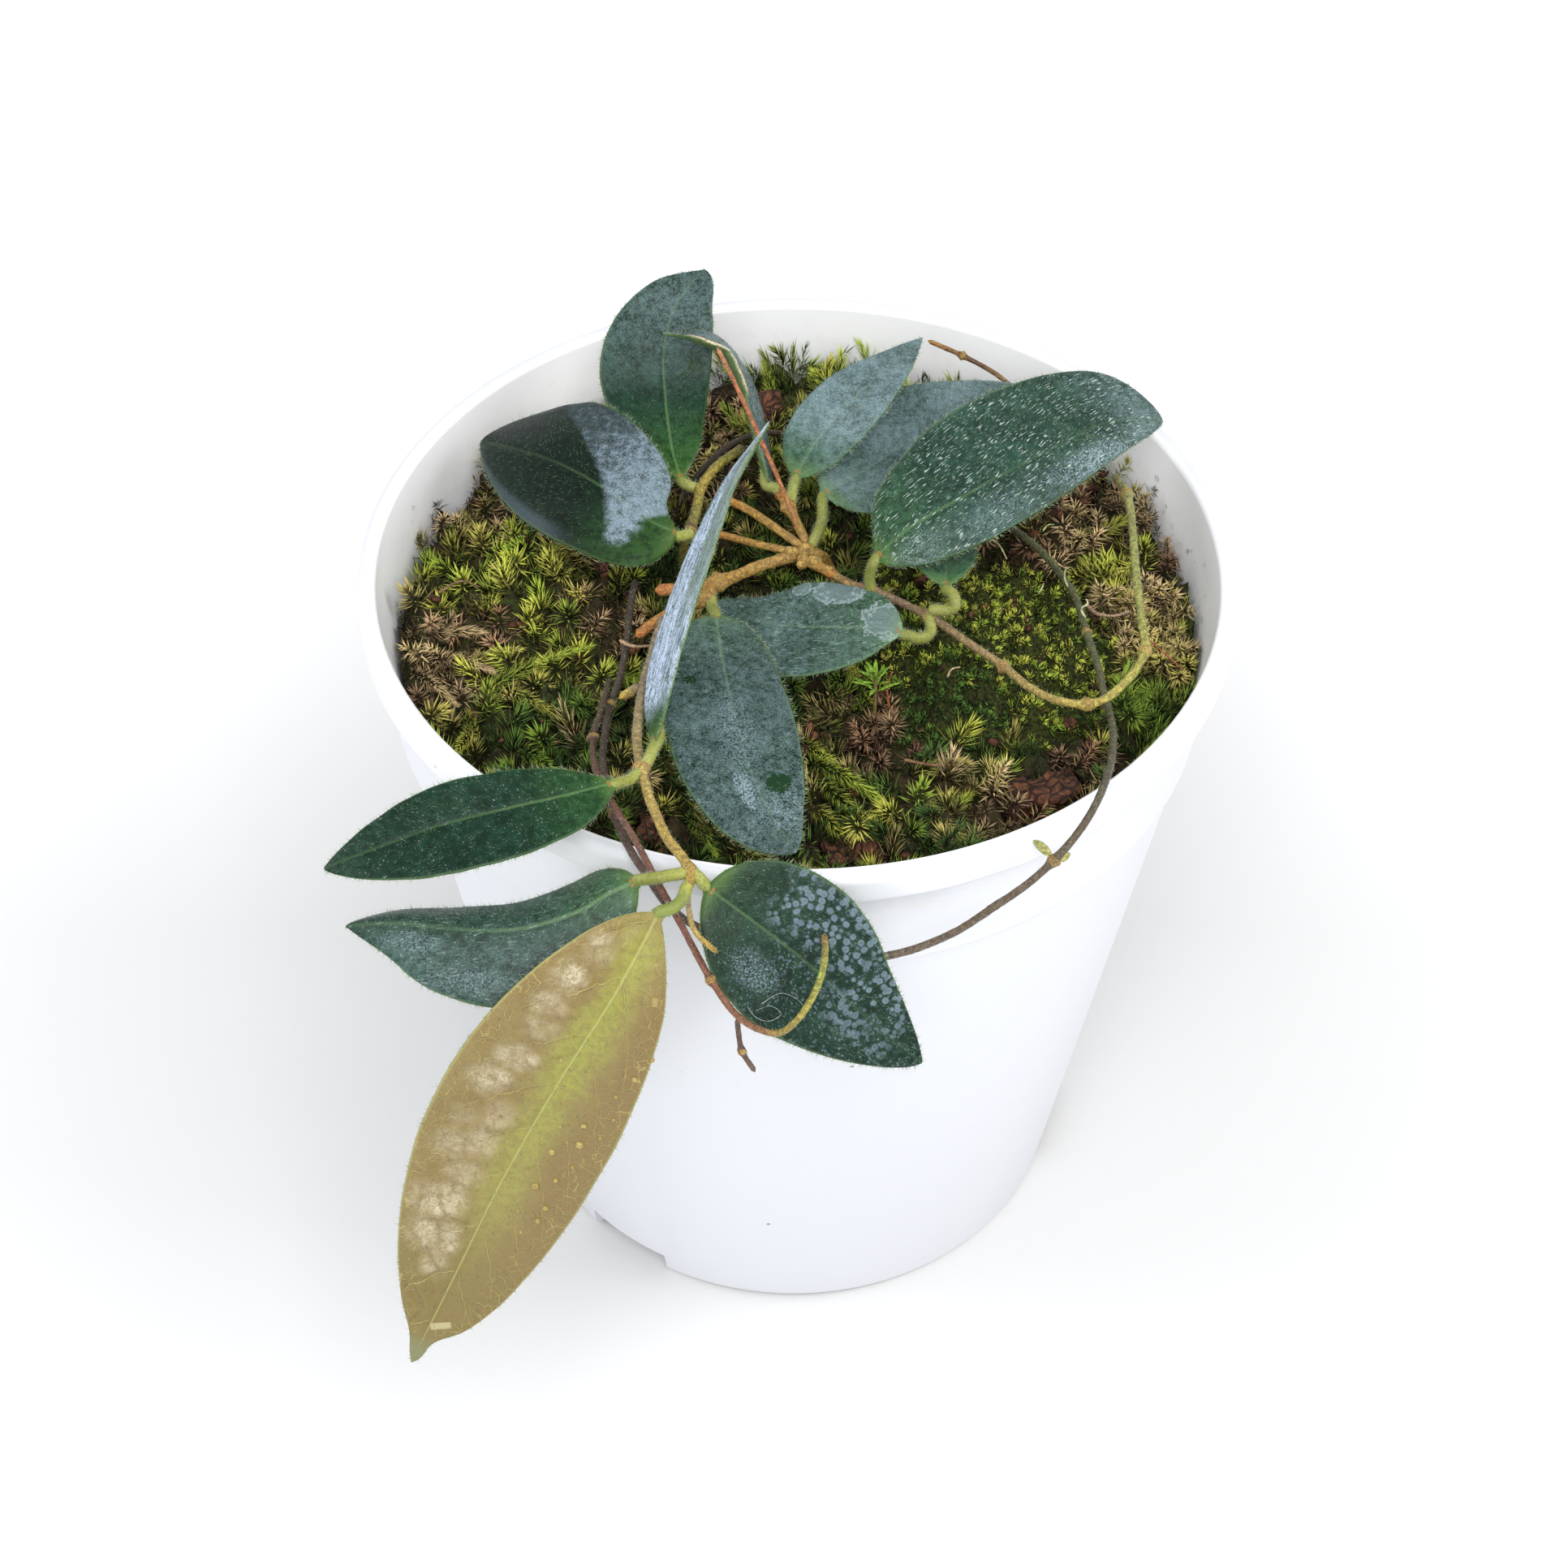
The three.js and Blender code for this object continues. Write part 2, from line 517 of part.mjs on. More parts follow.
// Thickens an open sheet into a closed solid. The lower side is each point moved by the given rule.
function closedSheet(sheet, lowerPoint) {
  const columns = sheet.parameters.widthSegments;
  const rows = sheet.parameters.heightSegments;
  const top = sheet.attributes.position;
  const count = top.count;
  const points = [];
  for (let i = 0; i < count; i += 1) {
    points.push(top.getX(i), top.getY(i), top.getZ(i));
  }
  for (let i = 0; i < count; i += 1) {
    points.push(...lowerPoint(i));
  }
  const faces = Array.from(sheet.index.array);
  for (let i = 0; i < sheet.index.count; i += 3) {
    const [a, b, c] = [0, 1, 2].map((k) => sheet.index.getX(i + k) + count);
    faces.push(a, c, b);
  }
  const rim = [];
  for (let c = 0; c < columns; c += 1) {
    rim.push(c);
  }
  for (let r = 0; r < rows; r += 1) {
    rim.push(r * (columns + 1) + columns);
  }
  for (let c = columns; c > 0; c -= 1) {
    rim.push(rows * (columns + 1) + c);
  }
  for (let r = rows; r > 0; r -= 1) {
    rim.push(r * (columns + 1));
  }
  for (let i = 0; i < rim.length; i += 1) {
    const a = rim[i];
    const b = rim[(i + 1) % rim.length];
    faces.push(a, b, b + count, a, b + count, a + count);
  }
  const closed = new THREE.BufferGeometry();
  closed.setAttribute('position', new THREE.Float32BufferAttribute(points, 3));
  closed.setIndex(faces);
  return solidFrom(closed);
}

function seamWalls() {
  const walls = [];
  for (const seam of SEAMS) {
    for (let i = 0; i + 1 < seam.length; i += 1) {
      const [x0, y0] = seam[i];
      const [x1, y1] = seam[i + 1];
      const length = Math.hypot(x1 - x0, y1 - y0);
      const wall = new THREE.BoxGeometry(length + CLUMP_GAP, CLUMP_GAP, 2 * POT_HEIGHT);
      wall.rotateZ(Math.atan2(y1 - y0, x1 - x0));
      wall.translate((x0 + x1) / 2, (y0 + y1) / 2, 0);
      walls.push(solidFrom(wall));
    }
  }
  return walls;
}

function makeMossClumps(cutters) {
  const sheet = tuftSheet();
  const top = sheet.attributes.position;
  const layer = closedSheet(sheet, (i) => [top.getX(i), top.getY(i), MIX_TOP - 20]);
  const disc = turnedSolid([
    [0, MIX_TOP + FIT_GAP],
    [innerRadius(MIX_TOP) - MOSS_WALL_GAP, MIX_TOP + FIT_GAP],
    [innerRadius(POT_HEIGHT) - MOSS_WALL_GAP, POT_HEIGHT],
    [0, POT_HEIGHT],
  ], POT_SIDES);
  const bodies = without(layer.intersect(disc), [...seamWalls(), ...cutters]).decompose();
  return CLUMPS.map((clump) => {
    const near = bodies.filter((body) => nearestClump(body) === clump);
    const solid = near.reduce((best, body) => (body.volume() > best.volume() ? body : best));
    return meshOf(clump.name, solid, clump.colour, 0.95);
  });
}

function nearestClump(body) {
  const { min, max } = body.boundingBox();
  const x = (min[0] + max[0]) / 2;
  const y = (min[1] + max[1]) / 2;
  const away = (clump) => Math.hypot(x - clump.at[0], y - clump.at[1]);
  return CLUMPS.reduce((best, clump) => (away(clump) < away(best) ? clump : best));
}

// A broken slab of bark, its corners moved by seeded amounts. Room adds clearance all round.
function makeBark(chip, index, room) {
  const [length, width, thickness] = chip.size;
  const slab = new THREE.BoxGeometry(length, width, thickness, 2, 1, 1);
  const bare = slab.clone();
  bare.deleteAttribute('normal');
  bare.deleteAttribute('uv');
  const merged = mergeVertices(bare, 1e-4);
  const position = merged.attributes.position;
  const random = randomFrom(700 + index);
  for (let i = 0; i < position.count; i += 1) {
    const corner = new THREE.Vector3().fromBufferAttribute(position, i);
    const taper = 0.7 + 0.3 * random();
    corner.x = corner.x * taper + Math.sign(corner.x) * room;
    corner.y = corner.y * (0.7 + 0.3 * random()) + Math.sign(corner.y) * room;
    const rise = corner.z > 0 ? (random() - 0.5) * 0.3 * thickness : 0;
    corner.z += rise + Math.sign(corner.z) * room;
    position.setXYZ(i, corner.x, corner.y, corner.z);
  }
  merged.rotateZ(THREE.MathUtils.degToRad(chip.turn));
  merged.translate(...chip.at);
  return solidFrom(merged);
}

function smoothPath(points) {
  return new THREE.CatmullRomCurve3(points.map(vector), false, 'centripetal');
}

// A point moved away from its neighbour, to lengthen a path by the given room.
function lengthened(end, next, room) {
  const outward = vector(end).sub(vector(next)).setLength(room);
  return vector(end).add(outward).toArray();
}

// A round stem along a path, with room added all round and past both ends.
function tube(points, bareRadius, room = 0) {
  const last = points.length - 1;
  const radius = bareRadius + room;
  const sides = STEM_SIDES;
  const longer = [...points];
  if (room > 0) {
    longer[0] = lengthened(points[0], points[1], room);
    longer[last] = lengthened(points[last], points[last - 1], room);
  }
  const path = smoothPath(longer);
  const section = new THREE.Shape();
  for (let i = 0; i < sides; i += 1) {
    const angle = (2 * Math.PI * i) / sides;
    const corner = [radius * Math.cos(angle), radius * Math.sin(angle)];
    if (i === 0) {
      section.moveTo(...corner);
    } else {
      section.lineTo(...corner);
    }
  }
  const steps = Math.max(2, Math.round(path.getLength() / STEM_STEP));
  return solidFrom(new THREE.ExtrudeGeometry(section, { steps, extrudePath: path, bevelEnabled: false }));
}

function makeStem(stem, room) {
  const solids = [];
  for (const branch of stem.branches) {
    solids.push(tube(branch.path, branch.radius, room));
    for (const index of branch.swellings) {
      const swelling = new THREE.IcosahedronGeometry(branch.radius * SWELLING + room);
      swelling.translate(...branch.path[index]);
      solids.push(solidFrom(swelling));
    }
  }
  return joined(solids);
}

// Half width of a blade as a share of its widest, from the base at 0 to the tip at 1.
function outline(leaf, side, t) {
  const belly = leaf.belly[side];
  const rising = t < belly;
  const turn = rising ? t / belly : (1 - t) / (1 - belly);
  return Math.sin((Math.PI / 2) * turn) ** (rising ? leaf.base[side] : leaf.tip[side]);
}

function bladePoint(leaf, midrib, t, s) {
  const along = Math.min(Math.max(t, 0), 1);
  const centre = midrib.getPoint(along);
  const forward = midrib.getTangent(along);
  const up = vector(leaf.facing[0]).lerp(vector(leaf.facing[1]), along);
  up.addScaledVector(forward, -up.dot(forward)).normalize();
  const right = new THREE.Vector3().crossVectors(forward, up);
  const side = s < 0 ? 0 : 1;
  const least = THREE.MathUtils.lerp(BLADE_BASE_HALF, BLADE_TIP_HALF, along);
  const share = outline(leaf, side, along);
  const half = Math.max(leaf.width[side] * share, least);
  const lift = THREE.MathUtils.degToRad(leaf.lift[side]);
  const [waveHeight, waveCount] = leaf.wave ?? [0, 0];
  const wave = waveHeight * s * s * Math.sin(2 * Math.PI * waveCount * along + side * Math.PI);
  const rise = half * Math.sin(lift) * Math.abs(s) ** 1.5 + wave * share;
  return centre.addScaledVector(right, half * s * Math.cos(lift)).addScaledVector(up, rise);
}

function bladeNormal(leaf, midrib, t, s) {
  const step = 0.02;
  const ahead = bladePoint(leaf, midrib, Math.min(t + step, 1), s);
  const behind = bladePoint(leaf, midrib, Math.max(t - step, 0), s);
  const rightward = bladePoint(leaf, midrib, t, Math.min(s + step, 1));
  const leftward = bladePoint(leaf, midrib, t, Math.max(s - step, -1));
  return rightward.sub(leftward).cross(ahead.sub(behind)).normalize();
}

function makeBlade(leaf) {
  const midrib = smoothPath(leaf.midrib);
  const rows = leaf.rows ?? BLADE_ROWS;
  const sheet = new THREE.PlaneGeometry(1, 1, BLADE_COLUMNS, rows);
  const position = sheet.attributes.position;
  const lower = [];
  for (let row = 0; row <= rows; row += 1) {
    const t = 1 - (1 - Math.cos((Math.PI * row) / rows)) / 2;
    for (let column = 0; column <= BLADE_COLUMNS; column += 1) {
      const s = (2 * column) / BLADE_COLUMNS - 1;
      const half = (BLADE_THICKNESS / 2) * (1 - (1 - EDGE_SHARE) * s * s);
      const centre = bladePoint(leaf, midrib, t, s);
      const normal = bladeNormal(leaf, midrib, t, s);
      const upper = centre.clone().addScaledVector(normal, half);
      position.setXYZ(row * (BLADE_COLUMNS + 1) + column, upper.x, upper.y, upper.z);
      lower.push(centre.addScaledVector(normal, -half).toArray());
    }
  }
  return closedSheet(sheet, (i) => lower[i]);
}

// The petiole runs from the stem's node into the base of the blade.
function makePetiole(leaf, room) {
  const path = [...leaf.petiole, leaf.midrib[0], smoothPath(leaf.midrib).getPoint(0.07).toArray()];
  return tube(path, PETIOLE_RADIUS, room);
}

// A tiny seedling: a thin stem with narrow leaflets all round its top.
function makeSeedling(room) {
  const solids = [tube([SEEDLING.foot, SEEDLING.top], SEEDLING.radius, room)];
  const leaflet = new THREE.Shape();
  leaflet.moveTo(0, 0);
  leaflet.lineTo(SEEDLING.length * 0.6, -SEEDLING.width / 2);
  leaflet.lineTo(SEEDLING.length, 0);
  leaflet.lineTo(SEEDLING.length * 0.6, SEEDLING.width / 2);
  for (let i = 0; i < SEEDLING.leaflets; i += 1) {
    const blade = new THREE.ExtrudeGeometry(leaflet, { depth: SEEDLING.depth, bevelEnabled: false });
    blade.rotateY(-0.3);
    blade.rotateZ((2 * Math.PI * i) / SEEDLING.leaflets);
    blade.translate(SEEDLING.top[0], SEEDLING.top[1], SEEDLING.top[2] - 1);
    solids.push(solidFrom(blade));
  }
  return joined(solids);
}

const plant = new THREE.Group();
const gapStems = [];
for (const stem of STEMS) {
  const solid = largestBody(without(makeStem(stem, 0), gapStems));
  plant.add(meshOf(stem.name, solid, stem.colour, 0.7));
  gapStems.push(makeStem(stem, STEM_GAP));
}
const gapPetioles = [];
for (const leaf of LEAVES) {
  const whole = makeBlade(leaf).add(makePetiole(leaf, 0));
  const solid = largestBody(without(whole, [...gapStems, ...gapPetioles]));
  plant.add(meshOf(leaf.name, solid, leaf.colour, 0.45));
  gapPetioles.push(makePetiole(leaf, STEM_GAP));
}
plant.add(meshOf('seedling', makeSeedling(0), '#5fae2e', 0.6));

const ground = new THREE.Group();
ground.add(meshOf('pot', makePot(), '#f1f3f8', 0.35));
ground.add(meshOf('growing_mix', largestBody(without(makeMix(), gapStems)), '#2c2018', 0.95));
const barkRoom = [];
BARK.forEach((chip, index) => {
  ground.add(meshOf(`bark_${index + 1}`, makeBark(chip, index, 0), '#4a2a1c', 0.9));
  barkRoom.push(makeBark(chip, index, BARK_GAP));
});
ground.add(...makeMossClumps([...gapStems, ...barkRoom, makeSeedling(FIT_GAP)]));

const pottedPlant = new THREE.Group();
pottedPlant.add(ground, plant);

export default pottedPlant;
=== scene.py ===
"""Looks for a potted wax plant: hairy leaves on thin looping vines over moss in a white nursery pot.

Lengths in the tables are millimetres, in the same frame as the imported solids.
"""

import math

import bmesh
import bpy
import numpy as np
from mathutils import Matrix, Vector, noise
from mathutils.bvhtree import BVHTree


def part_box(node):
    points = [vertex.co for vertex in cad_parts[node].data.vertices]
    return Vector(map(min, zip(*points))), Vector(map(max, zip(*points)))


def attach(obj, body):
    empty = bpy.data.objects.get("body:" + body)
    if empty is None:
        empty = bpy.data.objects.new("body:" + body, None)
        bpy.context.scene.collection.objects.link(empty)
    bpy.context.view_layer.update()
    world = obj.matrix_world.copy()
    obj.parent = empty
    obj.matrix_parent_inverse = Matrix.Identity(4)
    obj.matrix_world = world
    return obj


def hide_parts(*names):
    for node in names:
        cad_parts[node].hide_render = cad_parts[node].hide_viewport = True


bl_info = {
    "name": "Potted wax plant",
    "version": (1, 0, 0),
    "blender": (4, 5, 0),
    "location": "View3D > Sidebar > Wax plant",
    "description": "Builds the leaves, vines, moss and pot of a small potted wax plant",
    "category": "Add Mesh",
}

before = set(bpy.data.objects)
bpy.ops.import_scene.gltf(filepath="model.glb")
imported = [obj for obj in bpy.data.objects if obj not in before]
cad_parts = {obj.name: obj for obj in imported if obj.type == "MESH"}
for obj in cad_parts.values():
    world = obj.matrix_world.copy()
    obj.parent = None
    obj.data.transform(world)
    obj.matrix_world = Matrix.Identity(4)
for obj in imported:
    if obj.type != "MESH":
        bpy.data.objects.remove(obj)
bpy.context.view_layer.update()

MM = 0.001
GOLDEN_ANGLE = math.pi * (3 - math.sqrt(5))
KEPT_MAP = "OFBake"
TUBE_SIDES = 14
SKY_HEIGHT = 140
DOWN = Vector((0, 0, -1))

# Pot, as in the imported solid.
POT_HEIGHT = 113.0
COLLAR_BOTTOM = 92.0
BASE_RADIUS = 40.5
BODY_TOP_RADIUS = 55.4
RIM_RADIUS = 60.0
RIM_INNER_RADIUS = 57.4
WALL = 1.3
FLOOR = 2.2
POCKET_ROOF = 6.6
DRAIN_RADIUS = 2.1
POCKET_ANGLES = (-128, -8, 112)

# Each blade follows its midrib. Facing is the way the upper side looks at the base and at the tip.
# Pairs give the left and the right half: width to the edge, where it is widest, how its ends are rounded,
# and how many degrees its edge is raised.
LEAVES = {
    "leaf_top": dict(
        width=(9, 7), belly=(0.5, 0.6), base=(1, 0.85), tip=(0.98, 0.5), lift=(6, 10),
        facing=((0.1, -0.45, 0.9), (-0.1, -0.5, 0.86)), petiole=((-13.9, 12.6, 115), (-15.2, 12.9, 115.3)),
        midrib=((-16.2, 13.4, 115.8), (-17.5, 18, 116.8), (-18.8, 27, 120), (-19, 32.3, 124), (-17.2, 37.4, 128),
                (-13.4, 41.6, 131))),
    "leaf_left_broad": dict(
        width=(9.8, 12.8), belly=(0.48, 0.68), base=(0.6, 0.95), tip=(0.8, 0.5), lift=(-8, -10),
        facing=((-0.1, -0.3, 0.95), (-0.35, -0.1, 0.93)), petiole=((-14.8, 2.4, 115.5), (-15.6, 1.9, 115.7)),
        midrib=((-16.3, 1.6, 116), (-20.2, 2, 118), (-26.5, 6.8, 119.6), (-33, 12.3, 119.4), (-39, 18, 117),
                (-45, 25, 113))),
    "leaf_curled": dict(
        width=(5, 4.6), belly=(0.5, 0.5), base=(0.7, 0.7), tip=(0.9, 0.9), lift=(10, 10),
        facing=((0.95, 0.1, 0.3), (0.3, 0.5, 0.8)), petiole=((-2.6, 10.6, 116.3), (-3.2, 11.6, 116.1)),
        midrib=((-4, 12.4, 115.8), (-5.1, 17.1, 117.5), (-6.9, 23.3, 121), (-8.6, 26.2, 124.6), (-10.8, 27.6, 127.6),
                (-14.2, 27.2, 129.8), (-18.9, 27.6, 130.4))),
    "leaf_upright": dict(
        width=(6.4, 8.5), belly=(0.45, 0.45), base=(0.7, 0.7), tip=(0.95, 0.95), lift=(5, 5),
        facing=((-0.9, 0.1, 0.45), (-0.88, 0.1, 0.48)), petiole=((-19.4, -45.4, 118), (-18.6, -44.4, 118.8)),
        midrib=((-18, -42.6, 119.6), (-17.3, -35.3, 122), (-15.2, -25, 125), (-12.4, -15.6, 128), (-9.2, -6.1, 131),
                (-4, 2.5, 135))),
    "leaf_centre": dict(
        width=(7.4, 9.4), belly=(0.52, 0.52), base=(0.45, 0.5), tip=(0.7, 0.55), lift=(5, 5),
        facing=((0.05, -0.15, 0.98), (0.1, -0.3, 0.95)), petiole=((-11.8, -7.6, 113.2), (-11.4, -10.2, 113.2)),
        midrib=((-10.9, -12.2, 113.8), (-10.2, -19.7, 114.6), (-8.7, -29.8, 115.4), (-6.7, -39.8, 115),
                (-3.8, -48.2, 113.4), (-0.2, -54, 111.8))),
    "leaf_lance": dict(
        width=(9.6, 8.2), belly=(0.56, 0.48), base=(0.9, 0.7), tip=(0.8, 0.9), lift=(3, 5),
        facing=((0, -0.05, 1), (-0.1, -0.1, 1)),
        petiole=((17.6, -11.5, 113), (17.7, -13.7, 112.4), (16.2, -15.3, 112.7)),
        midrib=((14, -15.2, 113.6), (10.5, -14.3, 113.4), (4, -13.2, 112.4), (-2.5, -11.3, 111), (-6.9, -8.1, 109.8),
                (-10.6, -3.3, 108.6))),
    "leaf_small": dict(
        width=(6, 4), belly=(0.5, 0.5), base=(0.85, 0.85), tip=(0.8, 0.8), lift=(12, 12),
        facing=((0, -0.3, 0.95), (0, 0.1, 1)), petiole=((18, -11, 114), (20.8, -11.8, 115), (20.8, -10.4, 116)),
        midrib=((19.7, -9, 116.2), (20, -4.8, 116.2), (20.6, 3, 115.2), (21.6, 12, 113))),
    "leaf_back": dict(
        width=(5.5, 5.4), belly=(0.48, 0.48), base=(0.6, 0.6), tip=(0.85, 0.85), lift=(6, 6),
        facing=((-0.1, -0.35, 0.93), (-0.2, -0.2, 0.96)), petiole=((-1.2, 7.6, 116), (-0.9, 9.4, 116.9)),
        midrib=((-0.4, 11.6, 118), (1.8, 15, 120), (6.3, 21.4, 122), (11.4, 27.2, 123.5), (17.4, 35.3, 124))),
    "leaf_behind": dict(
        width=(9.5, 9), belly=(0.5, 0.5), base=(0.62, 0.62), tip=(0.8, 0.8), lift=(4, 4),
        facing=((0, -0.3, 0.95), (0, -0.2, 0.98)), petiole=((1.9, 2.2, 114.2), (3.2, 6.2, 114.4), (3.3, 8.8, 115.4)),
        midrib=((3.4, 10.2, 116), (7.4, 12.8, 116.6), (14.3, 19.2, 117), (22.5, 26.5, 117), (31.5, 35, 116))),
    "leaf_big_right": dict(
        width=(12.6, 7), belly=(0.54, 0.4), base=(0.9, 0.5), tip=(0.54, 0.62), lift=(-4, -6),
        facing=((-0.1, -0.35, 0.93), (0.05, -0.35, 0.93)), petiole=((9.8, -7, 114), (9.6, -7, 116.5)),
        midrib=((10.3, -6.6, 119.2), (14.8, -3.4, 121.5), (23.5, 1.6, 124), (33.6, 8.8, 125), (43, 16.4, 124.2),
                (50.5, 20.5, 121.5))),
    "leaf_low_left": dict(
        width=(7.4, 5.4), belly=(0.5, 0.5), base=(0.7, 0.7), tip=(0.75, 0.75), lift=(8, 8),
        facing=((0.05, -0.3, 0.95), (-0.15, -0.35, 0.92)), petiole=((-19.8, -46.3, 118), (-21.2, -48.2, 118.6)),
        midrib=((-22.8, -49.2, 119), (-28.3, -52, 119.6), (-36.2, -54.8, 119.8), (-44.1, -57, 119),
                (-51, -59.2, 117.6), (-58, -60.8, 115.5))),
    "leaf_wavy": dict(
        width=(9.6, 6.2), belly=(0.5, 0.34), base=(0.7, 0.5), tip=(0.95, 0.55), lift=(4, -56), wave=(0.7, 1.4),
        facing=((0.1, -0.74, 0.68), (-0.1, -0.6, 0.8)), petiole=((-13.4, -63.3, 118), (-16.5, -64.1, 118)),
        midrib=((-19.4, -64.1, 117.3), (-22.8, -65.3, 116.3), (-26.3, -67.3, 115.3), (-33.5, -68.8, 113.6),
                (-41.5, -68.3, 112.9), (-48.3, -66.8, 112.2), (-55.3, -65.8, 110.6))),
    "leaf_bronze": dict(
        width=(10.4, 13), belly=(0.52, 0.46), base=(0.8, 0.6), tip=(0.8, 0.9), lift=(5, 8),
        facing=((0.14, -0.82, 0.5), (-0.2, -0.86, 0.3)),
        petiole=((-13.4, -65, 117.2), (-14, -67.4, 117.4), (-15.1, -68.9, 117.6)),
        midrib=((-16.7, -69.6, 117.4), (-21.8, -75.9, 110.3), (-29.1, -79.3, 97.3), (-36.7, -82, 81.4),
                (-43.6, -85.7, 65.7), (-49.4, -90.4, 54))),
    "leaf_front_right": dict(
        width=(9.6, 10), belly=(0.42, 0.48), base=(0.46, 0.62), tip=(0.82, 0.7), lift=(6, 6),
        facing=((0.15, -0.75, 0.62), (0.2, -0.8, 0.55)), petiole=((-12.8, -63.1, 118), (-11.8, -63.9, 117.4)),
        midrib=((-11, -64.4, 116.6), (-5.6, -66.4, 113), (0.8, -68.4, 108), (6.9, -70.4, 102), (15.7, -73.4, 94.5))),
}

